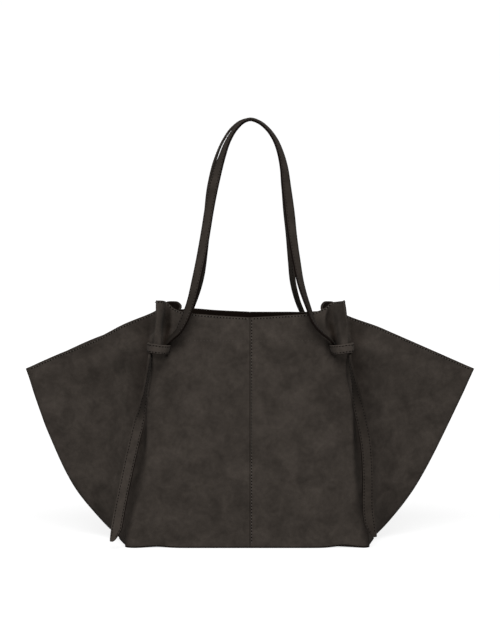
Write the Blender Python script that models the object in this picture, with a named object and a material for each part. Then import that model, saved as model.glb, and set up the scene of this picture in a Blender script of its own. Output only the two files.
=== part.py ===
"""Winged leather shoulder bag with two strap handles knotted round four pleats.

Metres, +Z up. The origin is the middle of the base, on the surface that the bag stands on.
The front of the bag faces -Y. One quarter of the body is described by a pleated surface,
which is mirrored to the other three. Straps, knots, facing and lining follow that surface.
"""
import math

import bmesh
import bpy
from mathutils import Vector

# Leather, cloth and board
LEATHER = 0.0014
FACING = 0.0012
LINING = 0.0008
BASE_LEATHER = 0.0016
BOARD = 0.0020
GAP = 0.0003

# Body of the bag. Rises and drops are measured from the rim of the centre panels
BASE_HALF_WIDTH = 0.151
BASE_HALF_DEPTH = 0.065
MOUTH_HALF_DEPTH = 0.059
RIM_HEIGHT = 0.2894
EAR_RISE = 0.0226
WING_REACH = 0.2876
WING_TIP_DROP = 0.0694
SEAM_FOOT_REACH = 0.1585
SEAM_SWELL_SHARE = 0.55
WING_BELLY = 0.004
FACING_BELOW_KNOT = 0.018

# Pleats, and the slits beside each pleat that the knotted strap runs through
KNOT_X = 0.112
KNOT_DROP = 0.0364
NECK_WIDTH = 0.019
PLEAT_PROUD = 0.020
SLIT_CLEARANCE = 0.0009
SLIT_END_CLEARANCE = 0.0006

# Straps
STRAP_WIDTH = 0.014
STRAP_THICKNESS = 0.003
EDGE_SHARE = 0.25
KNOT_CLEARANCE = 0.0007
KNOT_BACK_CLEARANCE = 0.0012
HINGE_RISE = 0.009
HINGE_DEPTH = 0.0735
HANDLE_RISE = 0.2481
HANDLE_TOP_DEPTH = 0.012
TAIL_DEPTH = 0.078
TAIL_TIP_HEIGHT = 0.0087
TAIL_SPREAD = {"left": 0.044, "right": 0.027}
TAIL_BEND_SHARES = {"left": 1.15, "right": 0.75}
TAIL_TAPER_LENGTH = 0.018

# Zip pocket inside the front, and the magnetic snap at the mouth
POCKET_WIDTH = 0.166
POCKET_TOP_DROP = 0.0334
POCKET_DROP = 0.126
POCKET_CLOTH = 0.0008
POCKET_DEPTH = 0.0563
ZIP_DROP = 0.010
TAPE_WIDTH = 0.008
TAPE_THICKNESS = 0.0006
TEETH_PITCH = 0.005
TEETH_THICKNESS = 0.0016
TEETH_REACH = 0.0017
TEETH_SPINE = 0.0012
STOP_LENGTH = 0.003
SLIDER_LENGTH = 0.010
SLIDER_WIDTH = 0.0085
SLIDER_PLATE = 0.0014
PULLER_LENGTH = 0.026
PULLER_WIDTH = 0.006
PULLER_THICKNESS = 0.0014
PULLER_PIN_RADIUS = 0.0009
SNAP_RADIUS = 0.009
SNAP_THICKNESS = 0.0026
SNAP_KNOB_RADIUS = 0.0035
SNAP_KNOB_RISE = 0.0016
SNAP_DROP = 0.0174

# The quarter's control lines run from base to rim. Lines 3 to 9 shape the pleat:
# inner slit edges, inner flank, ridge, outer flank, outer slit edges.
CENTRE_LINE = 0
INNER_SLIT_LINE = 3
OUTER_SLIT_LINE = 8
SEAM_LINE = 12
SLIT_LEVELS = (3, 4)
SLIT_LOW_SHARE = 0.82
SLIT_HIGH_SHARE = 0.88
LEVEL_SHARES = (0.0, 0.3, 0.6, SLIT_LOW_SHARE, SLIT_HIGH_SHARE, 1.0)
KNOT_LEVEL_SHARE = 0.85
INNER_SLIT_MIDDLE = 3.5
OUTER_SLIT_MIDDLE = 8.5
KNOT_FRONT_LINES = (5.0, 5.5, 6.0, 6.5, 7.0)
PANEL_LINE_SHARES = (0.0, 0.5, 0.87)
WING_LINE_SHARES = (0.30, 0.64)
BASE_X_SHARES = (0.84, 0.87, 0.91, 0.955, 0.992, 1.0, 1.0)
LOWER_X_SHARES = (0.715, 0.748, 0.80, 0.868, 0.92, 0.954, 0.987)
UPPER_X_SHARES = (0.911, 0.946, 1.009, 1.08, 1.143, 1.179, 1.232)
NECK_X_SHARES = (-0.5, -0.40, 0.02, 0.42, 0.5)
RIM_X_SHARES = (0.84, 0.88, 0.906, 0.969, 1.04, 1.045, 1.071)
DEPTH_FALL_SHARES = (0.0, 0.15, 0.6, 0.85, 0.85, 1.0)
NECK_PROUD_SHARES = (0.05, 0.075, 0.5, 1.05, 0.8, 0.175, -0.075)
PROUD_SHARES = (
    (0.0, 0.0, 0.0, -0.025, -0.2, -0.45, -0.775),
    (0.0, 0.0, 0.0, -0.05, -0.2, -0.375, -0.55),
    (0.0, 0.0, 0.125, 0.25, 0.075, -0.125, -0.3),
    NECK_PROUD_SHARES,
    NECK_PROUD_SHARES,
    (0.15, 0.25, 0.6, 1.075, 1.0, 0.45, 0.05),
)
RIM_RISE_SHARES = (0.0, 0.12, 0.36, 0.47, 0.6, 0.82, 1.0, 1.0, 0.47, 0.1)
WING_SLIT_SHARES = (0.845, 0.897)
COLUMN_STEPS = (1, 2, 1, 1, 1, 2, 2, 1, 1, 2, 2, 2)
LOWER_ROW_SHARES = (0.0, 0.12, 0.24, 0.36, 0.48, 0.6, 0.7)
UPPER_ROW_SHARES = (SLIT_LOW_SHARE, SLIT_HIGH_SHARE, 0.94, 1.0)
NORMAL_STEP = 0.01
BOARD_DRAW_SHARE = 1.5

# Half of a handle from its foot to its crown: share of the foot's reach, share of the rise
ARCH_SHARES = (
    (1.0, -0.0225), (1.0, 0.0), (0.975, 0.02), (0.905, 0.047), (0.844, 0.0835), (0.78, 0.138),
    (0.692, 0.2214), (0.63, 0.305), (0.584, 0.399), (0.545, 0.501), (0.494, 0.646),
    (0.4545, 0.748), (0.398, 0.813), (0.32, 0.875), (0.222, 0.944), (0.12, 0.985), (0.0, 1.0),
)
FOOT_TWIST_SHARES = (0.03, 0.26)
CROWN_TWIST_SHARES = (0.80, 0.99)
TAIL_TWIST_SHARE = 0.30
TAIL_TIP_SHARE = 0.3
TAIL_TOP_SHARE = 0.6
ROUND_END_SHARE = 0.92
SLIDE_AHEAD_SHARE = 0.125
HANDLE_STEPS = 44
TAIL_STEPS = 14
KNOT_STEPS = 22

# Edges of the snap discs and of the pull tab
SNAP_WALL_SHARE = 0.8
SNAP_FACE_SHARE = 0.95
SNAP_KNOB_SHARE = 0.9
SNAP_STEPS = 20
MERGE_SHARE = 0.03
PULLER_STEPS = 6

EAR_HEIGHT = RIM_HEIGHT + EAR_RISE
WING_TIP_HEIGHT = RIM_HEIGHT - WING_TIP_DROP
KNOT_HEIGHT = RIM_HEIGHT - KNOT_DROP
FACING_LOW_HEIGHT = KNOT_HEIGHT - FACING_BELOW_KNOT
HANDLE_TOP_HEIGHT = RIM_HEIGHT + HANDLE_RISE
POCKET_TOP_HEIGHT = RIM_HEIGHT - POCKET_TOP_DROP
SNAP_HEIGHT = RIM_HEIGHT - SNAP_DROP
SEAM_HALF_DEPTH = LEATHER + FACING + 2 * GAP
SLIT_WIDTH = STRAP_THICKNESS + 2 * SLIT_CLEARANCE
PANEL_FOOT = BASE_LEATHER + GAP
HINGE_HEIGHT = KNOT_HEIGHT + HINGE_RISE
TAIL_HINGE_HEIGHT = KNOT_HEIGHT - STRAP_WIDTH - GAP
TAIL_LENGTH = TAIL_HINGE_HEIGHT - TAIL_TIP_HEIGHT
KNOT_INNER_RUN = KNOT_X - NECK_WIDTH / 2 - SLIT_WIDTH / 2
KNOT_OUTER_RUN = KNOT_X + NECK_WIDTH / 2 + SLIT_WIDTH / 2
HANDLE_FOOT_X = KNOT_INNER_RUN - STRAP_THICKNESS - KNOT_CLEARANCE
SIDES = {"left": -1, "right": 1}
FACES = {"front": -1, "rear": 1}


def clear_scene():
    for item in list(bpy.data.objects):
        bpy.data.objects.remove(item, do_unlink=True)


def make_material(name, colour, roughness, metallic=0.0):
    material = bpy.data.materials.new(name)
    material.use_nodes = True
    shader = material.node_tree.nodes["Principled BSDF"]
    shader.inputs["Base Color"].default_value = (*colour, 1.0)
    shader.inputs["Roughness"].default_value = roughness
    shader.inputs["Metallic"].default_value = metallic
    return material


def mix(low, high, share):
    return low + (high - low) * share


def smooth_share(low, high, value):
    """0 below low, 1 above high, with a soft start and end."""
    share = min(max((value - low) / (high - low), 0.0), 1.0)
    return share * share * (3.0 - 2.0 * share)


def slopes(knots, points):
    """Slope of a smooth curve at each of its points, weighted by the spacing of the knots."""
    steps = [knots[i + 1] - knots[i] for i in range(len(knots) - 1)]
    rises = [(points[i + 1] - points[i]) / steps[i] for i in range(len(steps))]
    inner = []
    for i in range(1, len(points) - 1):
        weight = steps[i - 1] + steps[i]
        inner.append((rises[i - 1] * steps[i] + rises[i] * steps[i - 1]) / weight)
    return [rises[0]] + inner + [rises[-1]]


def curve_point(knots, points, bends, place):
    """Point of the smooth curve through points at a place between the knots."""
    index = 0
    while index < len(knots) - 2 and place > knots[index + 1]:
        index += 1
    step = knots[index + 1] - knots[index]
    t = (place - knots[index]) / step
    start = points[index] * (2 * t ** 3 - 3 * t ** 2 + 1) + bends[index] * step * (t ** 3 - 2 * t ** 2 + t)
    end = points[index + 1] * (3 * t ** 2 - 2 * t ** 3) + bends[index + 1] * step * (t ** 3 - t ** 2)
    return start + end


def chord_knots(points):
    """Running length along the points, so that the curve never loops between close ones."""
    knots = [0.0]
    for before, after in zip(points, points[1:]):
        knots.append(knots[-1] + (after - before).length)
    return knots


def seam_reach(height):
    """Half width of the bag at the side seam, which swells from the base to the wing tip."""
    share = min(max(height / WING_TIP_HEIGHT, 0.0), 1.0)
    swell = share + SEAM_SWELL_SHARE * share * (1.0 - share)
    return mix(SEAM_FOOT_REACH, WING_REACH, swell)


def pleat_places(level):
    """Reach of lines 3 to 9 at one of the levels. The slits lie between levels 3 and 4."""
    if level in SLIT_LEVELS:
        neck = [KNOT_X + share * NECK_WIDTH for share in NECK_X_SHARES]
        return [neck[0] - SLIT_WIDTH] + neck + [neck[-1] + SLIT_WIDTH]
    tables = {0: (BASE_X_SHARES, BASE_HALF_WIDTH), 1: (LOWER_X_SHARES, BASE_HALF_WIDTH),
              2: (UPPER_X_SHARES, KNOT_X), 5: (RIM_X_SHARES, KNOT_X)}
    shares, size = tables[level]
    return [share * size for share in shares]


def line_heights():
    """Height of each line at the foot, at both ends of the slits and at the rim."""
    slit_half = STRAP_WIDTH / 2 + SLIT_END_CLEARANCE
    tops = [mix(RIM_HEIGHT, EAR_HEIGHT, share) for share in RIM_RISE_SHARES]
    heights = [(PANEL_FOOT, KNOT_HEIGHT - slit_half, KNOT_HEIGHT + slit_half, top) for top in tops]
    for share in WING_LINE_SHARES + (1.0,):
        top = mix(tops[-1], WING_TIP_HEIGHT, share)
        low, high = (top * slit_share for slit_share in WING_SLIT_SHARES)
        heights.append((PANEL_FOOT, low, high, top))
    return heights


HEIGHTS = line_heights()


def line_height(line, level_share):
    knots = (0.0, SLIT_LOW_SHARE, SLIT_HIGH_SHARE, 1.0)
    places = HEIGHTS[line]
    index = 0 if level_share <= knots[1] else 1 if level_share <= knots[2] else 2
    span = knots[index + 1] - knots[index]
    return mix(places[index], places[index + 1], (level_share - knots[index]) / span)


def level_points(level):
    """Reach and depth of all thirteen lines at one of the levels."""
    panel_depth = mix(BASE_HALF_DEPTH, MOUTH_HALF_DEPTH, DEPTH_FALL_SHARES[level])
    places = pleat_places(level)
    points = [Vector((share * places[0], panel_depth)) for share in PANEL_LINE_SHARES]
    for place, share in zip(places, PROUD_SHARES[level]):
        points.append(Vector((place, panel_depth + share * PLEAT_PROUD)))
    seam_height = line_height(SEAM_LINE, LEVEL_SHARES[level])
    seam = Vector((seam_reach(seam_height), SEAM_HALF_DEPTH))
    belly = WING_BELLY * math.sin(math.pi * LEVEL_SHARES[level])
    root = points[-1]
    for share in WING_LINE_SHARES:
        bulge = Vector((0.0, belly * math.sin(math.pi * share)))
        points.append(root.lerp(seam, share) + bulge)
    return points + [seam]


LEVEL_POINTS = [level_points(level) for level in range(len(LEVEL_SHARES))]
LINE_POINTS = [[points[line] for points in LEVEL_POINTS] for line in range(SEAM_LINE + 1)]
LINE_BENDS = [slopes(LEVEL_SHARES, points) for points in LINE_POINTS]
SECTIONS = {}


def section(level_share):
    """Smooth plan section of the quarter at a level: knots, points and slopes."""
    if level_share not in SECTIONS:
        points = []
        for line in range(SEAM_LINE + 1):
            flat = curve_point(LEVEL_SHARES, LINE_POINTS[line], LINE_BENDS[line], level_share)
            points.append(Vector((flat.x, flat.y, line_height(line, level_share))))
        knots = chord_knots(points)
        SECTIONS[level_share] = (knots, points, slopes(knots, points))
    return SECTIONS[level_share]


def surface_point(line, level_share):
    """Outer surface of the quarter as reach, depth and height."""
    knots, points, bends = section(level_share)
    index = min(int(line), SEAM_LINE - 1)
    place = mix(knots[index], knots[index + 1], line - index)
    return curve_point(knots, points, bends, place)


def surface_normal(line, level_share):
    """Outward normal of the quarter. At the two seams it points straight out of the panel."""
    if line in (CENTRE_LINE, SEAM_LINE):
        return Vector((0.0, 1.0, 0.0))
    step = NORMAL_STEP
    across = surface_point(line + step, level_share) - surface_point(line - step, level_share)
    low = max(level_share - step, 0.0)
    high = min(level_share + step, 1.0)
    along = surface_point(line, high) - surface_point(line, low)
    return along.cross(across).normalized()


def wall_point(line, level_share, inset, side, face, centre_gap=0.0):
    """Point of the body wall, inset from its outer surface, in the quarter of side and face."""
    outer = surface_point(line, level_share)
    point = outer - surface_normal(line, level_share) * inset
    if level_share in (0.0, 1.0):
        point.z = outer.z
    reach = max(point.x, centre_gap)
    return Vector((side * reach, face * point.y, point.z))


def make_object(name, mesh_data, material):
    """Link a closed mesh as an object, with its faces turned outwards."""
    bmesh.ops.recalc_face_normals(mesh_data, faces=mesh_data.faces)
    if mesh_data.calc_volume(signed=True) < 0.0:
        bmesh.ops.reverse_faces(mesh_data, faces=mesh_data.faces)
    mesh = bpy.data.meshes.new(name)
    mesh_data.to_mesh(mesh)
    mesh_data.free()
    mesh.materials.append(material)
    item = bpy.data.objects.new(name, mesh)
    bpy.context.scene.collection.objects.link(item)
    return item


def set_origin(item, place):
    """Move the object's origin to a joint axis without moving the object."""
    offset = Vector(place)
    for vertex in item.data.vertices:
        vertex.co -= offset
    item.location = offset


def add_cell(data, corners, flip):
    """Two triangles over a cell, split the same way in both halves of the bag."""
    a, b, c, d = corners
    halves = ((a, b, d), (b, c, d)) if flip else ((a, b, c), (a, c, d))
    for half in halves:
        data.faces.new(half)


def grid_solid(outer, inner, holes=(), mirrored=None):
    """Closed sheet between two grids of points, with the cells named in holes left open."""
    data = bmesh.new()
    rows, columns = len(outer) - 1, len(outer[0]) - 1
    skins = [[[data.verts.new(point) for point in row] for row in grid] for grid in (outer, inner)]
    solid = {(r, c) for r in range(rows) for c in range(columns)} - set(holes)
    for r, c in solid:
        flip = bool(mirrored and mirrored[c])
        for skin in skins:
            corners = (skin[r][c], skin[r][c + 1], skin[r + 1][c + 1], skin[r + 1][c])
            add_cell(data, corners, flip)
        borders = (((r - 1, c), (r, c), (r, c + 1)), ((r + 1, c), (r + 1, c), (r + 1, c + 1)),
                   ((r, c - 1), (r, c), (r + 1, c)), ((r, c + 1), (r, c + 1), (r + 1, c + 1)))
        for neighbour, start, end in borders:
            if neighbour not in solid:
                near, far = ([skin[i][j] for i, j in (start, end)] for skin in skins)
                data.faces.new((near[0], near[1], far[1], far[0]))
    loose = [vertex for vertex in data.verts if not vertex.link_faces]
    bmesh.ops.delete(data, geom=loose, context="VERTS")
    return data


def column_lines():
    """Places of the grid columns, in lines from the centre seam to the side seam."""
    lines = []
    for index, steps in enumerate(COLUMN_STEPS):
        lines.extend(index + step / steps for step in range(steps))
    return lines + [SEAM_LINE]


def level_of_height(height):
    """Share of the way up at which the front panel reaches a height under the slits."""
    return SLIT_LOW_SHARE * (height - PANEL_FOOT) / (HEIGHTS[CENTRE_LINE][1] - PANEL_FOOT)


COLUMNS = column_lines()
FACING_LOW = level_of_height(FACING_LOW_HEIGHT)
LINING_TOP = level_of_height(FACING_LOW_HEIGHT - GAP)


def slit_cells(rows):
    """Grid cells that the two slits of a quarter open."""
    row = rows.index(SLIT_LOW_SHARE)
    return [(row, COLUMNS.index(line)) for line in (INNER_SLIT_LINE, OUTER_SLIT_LINE)]


def quarter_panel(name, side, face, material):
    """Outer leather of one quarter of the bag."""
    rows = LOWER_ROW_SHARES + (FACING_LOW,) + UPPER_ROW_SHARES
    skins = [[[wall_point(line, row, inset, side, face, GAP / 2) for line in COLUMNS] for row in rows]
             for inset in (0.0, LEATHER)]
    return make_object(name, grid_solid(*skins, slit_cells(rows)), material)


def half_sheet(name, face, rows, insets, material, slitted=False):
    """Sheet inside the front or rear leather that runs from one side seam to the other."""
    signed = [(-1, line) for line in reversed(COLUMNS[1:])] + [(1, line) for line in COLUMNS]
    skins = [[[wall_point(line, row, inset, side, face) for side, line in signed] for row in rows]
             for inset in insets]
    middle = len(COLUMNS) - 1
    mirrored = [c < middle for c in range(2 * middle)]
    holes = []
    if slitted:
        for row, column in slit_cells(rows):
            holes += [(row, middle + column), (row, middle - 1 - column)]
    return make_object(name, grid_solid(*skins, holes, mirrored), material)


def base_plate(name, inset, low, high, material):
    """Flat plate of the base outline, drawn in from the foot of the body walls."""
    width_share = 1.0 - inset / SEAM_FOOT_REACH
    depth_share = 1.0 - inset / BASE_HALF_DEPTH
    outline = [wall_point(line, 0.0, 0.0, 1, 1) for line in COLUMNS]
    quarter = [Vector((p.x * width_share, p.y * depth_share)) for p in outline]
    ring = [(p.x, -p.y) for p in quarter] + [(p.x, p.y) for p in reversed(quarter)]
    ring += [(-p.x, p.y) for p in quarter[1:]] + [(-p.x, -p.y) for p in reversed(quarter[1:])]
    data = bmesh.new()
    bottom = [data.verts.new((x, y, low)) for x, y in ring]
    face = data.faces.new(bottom)
    grown = bmesh.ops.extrude_face_region(data, geom=[face])
    lifted = [item for item in grown["geom"] if isinstance(item, bmesh.types.BMVert)]
    bmesh.ops.translate(data, verts=lifted, vec=(0.0, 0.0, high - low))
    return make_object(name, data, material)


def strap_ring(data, centre, across, outward, width):
    """Eight points round the strap, with its painted edges cut back at the corners."""
    cut = STRAP_THICKNESS * EDGE_SHARE
    half_width, half_thickness = width / 2, STRAP_THICKNESS / 2
    corners = ((half_width, half_thickness - cut), (half_width - cut, half_thickness))
    outline = [(w, t) for w, t in corners]
    outline += [(-w, t) for w, t in reversed(corners)]
    outline += [(-w, -t) for w, t in corners]
    outline += [(w, -t) for w, t in reversed(corners)]
    return [data.verts.new(centre + across * w + outward * t) for w, t in outline]


def strap_solid(stations, closed=False):
    """Strap swept through stations of centre, width direction, face direction and width."""
    data = bmesh.new()
    rings = [strap_ring(data, *station) for station in stations]
    pairs = list(zip(rings, rings[1:])) + ([(rings[-1], rings[0])] if closed else [])
    for before, after in pairs:
        for i in range(len(before)):
            j = (i + 1) % len(before)
            data.faces.new((before[i], before[j], after[j], after[i]))
    if not closed:
        data.faces.new(rings[0])
        data.faces.new(rings[-1])
    return data


def plan_place(line, inset):
    """Reach and depth of the wall at knot height, inset along its level normal."""
    point = surface_point(line, KNOT_LEVEL_SHARE)
    normal = surface_normal(line, KNOT_LEVEL_SHARE)
    flat = Vector((normal.x, normal.y)).normalized()
    return Vector((point.x, point.y)) - flat * inset


def knot_path():
    """Plan path of the strap round the neck of a pleat: closed, through both slits."""
    wall = LEATHER + GAP + FACING
    inner_slit = [plan_place(INNER_SLIT_MIDDLE, inset) for inset in (wall, 0.0)]
    outer_slit = [plan_place(OUTER_SLIT_MIDDLE, inset) for inset in (0.0, wall)]
    front = [plan_place(line, -KNOT_CLEARANCE - STRAP_THICKNESS / 2) for line in KNOT_FRONT_LINES]
    wall_back = plan_place(OUTER_SLIT_LINE + 1, wall).y
    back = wall_back - KNOT_BACK_CLEARANCE - STRAP_THICKNESS / 2
    corners = [Vector((inner_slit[0].x, back)), Vector((outer_slit[-1].x, back))]
    middle = Vector((KNOT_X, back - STRAP_THICKNESS / 2))
    return corners[:1] + inner_slit + front + outer_slit + corners[1:] + [middle]


def knot(name, side, face, material):
    """Band of strap round one pleat, which runs through the slits and behind the neck."""
    path = knot_path()
    loop = path[-2:] + path + path[:2]
    knots = chord_knots(loop)
    bends = slopes(knots, loop)
    start, end = knots[2], knots[-2]
    reach = (knots[3] - knots[2]) * SLIDE_AHEAD_SHARE
    stations = []
    for step in range(KNOT_STEPS):
        place = mix(start, end, step / KNOT_STEPS)
        centre = curve_point(knots, loop, bends, place)
        ahead = curve_point(knots, loop, bends, place + reach)
        behind = curve_point(knots, loop, bends, place - reach)
        along = (ahead - behind).normalized()
        outward = Vector((side * along.y, -face * along.x, 0.0))
        place_3d = Vector((side * centre.x, face * centre.y, KNOT_HEIGHT))
        stations.append((place_3d, Vector((0.0, 0.0, 1.0)), outward, STRAP_WIDTH))
    return make_object(name, strap_solid(stations, closed=True), material)


def round_end_width(distance):
    """Width of a round strap end at a distance past the centre of its arc."""
    radius = STRAP_WIDTH / 2
    share = min(distance / radius, ROUND_END_SHARE)
    return STRAP_WIDTH * math.sqrt(1.0 - share * share)


def arch_curve():
    """Smooth curve of a whole handle in its own plane: reach and rise share."""
    half = [Vector((reach * HANDLE_FOOT_X, rise * (HANDLE_TOP_HEIGHT - HINGE_HEIGHT)))
            for reach, rise in ARCH_SHARES]
    points = [Vector((-p.x, p.y)) for p in half] + [p.copy() for p in reversed(half[:-1])]
    knots = chord_knots(points)
    return knots, points, slopes(knots, points)


def turned_across(along, side_way, outward, share):
    """Width direction of a strap that is turned by a share of a quarter turn about its run."""
    angle = share * math.pi / 2
    across = side_way * math.cos(angle) + outward * math.sin(angle)
    return across, along.cross(across)


def handle_turn(share, reach):
    """Quarter turns of the handle: edge on at its foot and its crown, flat between them."""
    foot = 1.0 - smooth_share(*FOOT_TWIST_SHARES, share)
    crown = smooth_share(*CROWN_TWIST_SHARES, share)
    return math.copysign(foot + crown, reach)


def handle(name, face, material):
    """Strap handle that leans inwards from its two knots and turns flat at its crown."""
    knots, points, bends = arch_curve()
    rise = HANDLE_TOP_HEIGHT - HINGE_HEIGHT
    lean = Vector((0.0, face * (HANDLE_TOP_DEPTH - HINGE_DEPTH) / rise, 1.0))
    hinge = Vector((0.0, face * HINGE_DEPTH, HINGE_HEIGHT))
    outward = Vector((1.0, 0.0, 0.0)).cross(lean).normalized()
    step = knots[-1] / HANDLE_STEPS
    stations = []
    for index in range(HANDLE_STEPS + 1):
        flat = curve_point(knots, points, bends, index * step)
        behind = curve_point(knots, points, bends, max(index - 0.5, 0.0) * step)
        ahead = curve_point(knots, points, bends, min(index + 0.5, HANDLE_STEPS) * step)
        tangent = ahead - behind
        along = (Vector((tangent.x, 0.0, 0.0)) + lean.normalized() * tangent.y).normalized()
        turn = handle_turn(flat.y / rise, flat.x)
        across, facing = turned_across(along, along.cross(outward), outward, turn)
        centre = hinge + Vector((flat.x, 0.0, 0.0)) + lean * flat.y
        width = round_end_width(max(-flat.y * lean.length, 0.0))
        stations.append((centre, across, facing, width))
    item = make_object(name, strap_solid(stations), material)
    set_origin(item, hinge)
    return item


def tail_width(drop):
    """Full width, with a round top at the hinge and a tapered tip."""
    if drop < 0.0:
        return round_end_width(-drop)
    share = min((TAIL_LENGTH - drop) / TAIL_TAPER_LENGTH, 1.0)
    return STRAP_WIDTH * mix(TAIL_TIP_SHARE, 1.0, math.sqrt(share))


def tail_drops():
    """Distances under the hinge at which the tail has a station."""
    top = STRAP_WIDTH / 2 * ROUND_END_SHARE
    drops = [-top, -top * TAIL_TOP_SHARE, 0.0]
    drops += [TAIL_LENGTH * step / TAIL_STEPS for step in range(1, TAIL_STEPS)]
    return drops + [TAIL_LENGTH - TAIL_TAPER_LENGTH / 3, TAIL_LENGTH]


def tail(name, side_name, face, material):
    """Free strap end below a knot, edge on at its top and flat to the front lower down."""
    side = SIDES[side_name]
    outward = Vector((0.0, face, 0.0))
    drops = tail_drops()
    centres = []
    for drop in drops:
        spread = (max(drop, 0.0) / TAIL_LENGTH) ** TAIL_BEND_SHARES[side_name]
        reach = KNOT_OUTER_RUN + TAIL_SPREAD[side_name] * spread
        centres.append(Vector((side * reach, face * TAIL_DEPTH, TAIL_HINGE_HEIGHT - drop)))
    stations = []
    for index, centre in enumerate(centres):
        along = Vector((0.0, 0.0, -1.0))
        if drops[index] > 0.0:
            ahead = centres[min(index + 1, len(centres) - 1)]
            along = (ahead - centres[index - 1]).normalized()
        side_way = along.cross(outward).normalized()
        if side_way.x * side > 0:
            side_way = -side_way
        turn = 1.0 - smooth_share(0.0, TAIL_TWIST_SHARE, drops[index] / TAIL_LENGTH)
        across, facing = turned_across(along, side_way, outward, turn)
        stations.append((centre, across, facing, tail_width(drops[index])))
    item = make_object(name, strap_solid(stations), material)
    set_origin(item, (side * KNOT_OUTER_RUN, face * TAIL_DEPTH, TAIL_HINGE_HEIGHT))
    return item


def block(name, low, high, material):
    """Plain closed box between two corners, for cloth and tape that lie flat."""
    data = bmesh.new()
    bmesh.ops.create_cube(data, size=1.0)
    low, high = Vector(low), Vector(high)
    for vertex in data.verts:
        vertex.co = Vector([mix(a, b, c + 0.5) for a, b, c in zip(low, high, vertex.co)])
    return make_object(name, data, material)


def extruded(name, outline, low, high, material):
    """Closed solid of an outline in X and Z, between two places along Y."""
    data = bmesh.new()
    face = data.faces.new([data.verts.new((x, low, z)) for x, z in outline])
    grown = bmesh.ops.extrude_face_region(data, geom=[face])
    moved = [item for item in grown["geom"] if isinstance(item, bmesh.types.BMVert)]
    bmesh.ops.translate(data, verts=moved, vec=(0.0, high - low, 0.0))
    return make_object(name, data, material)


def teeth_outline(centre_height, way):
    """Comb of zip teeth on a spine. The two combs face each other, half a pitch apart."""
    half = POCKET_WIDTH / 2 - STOP_LENGTH - GAP
    spine = centre_height + way * (TEETH_REACH + GAP)
    root = spine + way * TEETH_SPINE
    tip = centre_height - way * TEETH_REACH
    tooth_half = TEETH_PITCH / 4 - GAP / 2
    count = int((2 * half - TEETH_PITCH) / TEETH_PITCH)
    shift = way * TEETH_PITCH / 4
    outline = [(-half, root), (-half, spine)]
    for index in range(count):
        middle = (index - (count - 1) / 2) * TEETH_PITCH + shift
        outline += [(middle - tooth_half, spine), (middle - tooth_half, tip)]
        outline += [(middle + tooth_half, tip), (middle + tooth_half, spine)]
    return outline + [(half, spine), (half, root)]


def zip_pocket(cloth, tape, metal):
    """Flat zipped pocket that hangs from the stitch line across the front facing."""
    half = POCKET_WIDTH / 2
    foot = POCKET_TOP_HEIGHT - POCKET_DROP
    zip_height = POCKET_TOP_HEIGHT - ZIP_DROP
    back = -POCKET_DEPTH
    front = back + POCKET_CLOTH + GAP
    tape_face = front + TAPE_THICKNESS
    block("pocket_back", (-half, back, foot), (half, back + POCKET_CLOTH, POCKET_TOP_HEIGHT), cloth)
    spine_edge = TEETH_REACH + TEETH_SPINE + 2 * GAP
    tape_edge = spine_edge + TAPE_WIDTH
    block("zip_tape_upper", (-half, front, zip_height + spine_edge),
          (half, tape_face, min(zip_height + tape_edge, POCKET_TOP_HEIGHT)), tape)
    block("zip_tape_lower", (-half, front, zip_height - tape_edge),
          (half, tape_face, zip_height - spine_edge), tape)
    block("pocket_front", (-half, front, foot),
          (half, front + POCKET_CLOTH, zip_height - tape_edge - GAP), cloth)
    for name, way in (("zip_teeth_upper", 1), ("zip_teeth_lower", -1)):
        extruded(name, teeth_outline(zip_height, way), front, front + TEETH_THICKNESS, metal)
    stop_half = TEETH_REACH + TEETH_SPINE
    for name, side in SIDES.items():
        ends = sorted((side * (half - STOP_LENGTH), side * half))
        block(f"zip_stop_{name}", (ends[0], front, zip_height - stop_half),
              (ends[1], front + TEETH_THICKNESS, zip_height + stop_half), metal)
    zip_slider(front, zip_height, metal)


def slider_rest_x():
    return POCKET_WIDTH / 2 - STOP_LENGTH - SLIDER_LENGTH / 2 - 2 * GAP


def slider_outline(front):
    """Section of the slider in Z and Y: a plate with a rail over each row of teeth."""
    face = front + TEETH_THICKNESS + GAP
    top = face + SLIDER_PLATE
    rail_low = front + TAPE_THICKNESS + GAP
    rail_inner = TEETH_REACH + TEETH_SPINE + 2 * GAP
    reach = SLIDER_WIDTH / 2
    return [(-reach, rail_low), (-rail_inner, rail_low), (-rail_inner, face), (rail_inner, face),
            (rail_inner, rail_low), (reach, rail_low), (reach, top), (-reach, top)]


def puller_outline(x, height):
    """Outline of the pull tab, round at its free end and square at its pin."""
    bend = PULLER_WIDTH / 2
    turns = [math.pi * (step / PULLER_STEPS - 0.5) for step in range(PULLER_STEPS + 1)]
    end = x - PULLER_LENGTH + bend
    outline = [(end - bend * math.cos(turn), height + bend * math.sin(turn)) for turn in turns]
    head = x + PULLER_PIN_RADIUS
    return outline + [(head, height + bend), (head, height - bend)]


def zip_slider(front, zip_height, metal):
    """Slider that straddles the teeth, and the pull tab that turns on its pin."""
    x = slider_rest_x()
    outline = slider_outline(front)
    data = bmesh.new()
    start = x - SLIDER_LENGTH / 2
    ring = [data.verts.new((start, y, zip_height + z)) for z, y in outline]
    grown = bmesh.ops.extrude_face_region(data, geom=[data.faces.new(ring)])
    moved = [item for item in grown["geom"] if isinstance(item, bmesh.types.BMVert)]
    bmesh.ops.translate(data, verts=moved, vec=(SLIDER_LENGTH, 0.0, 0.0))
    make_object("zip_slider", data, metal)
    low = outline[-1][1] + 2 * GAP
    high = low + PULLER_THICKNESS
    item = extruded("zip_puller", puller_outline(x, zip_height), low, high, metal)
    set_origin(item, (x, (low + high) / 2, zip_height))


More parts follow.
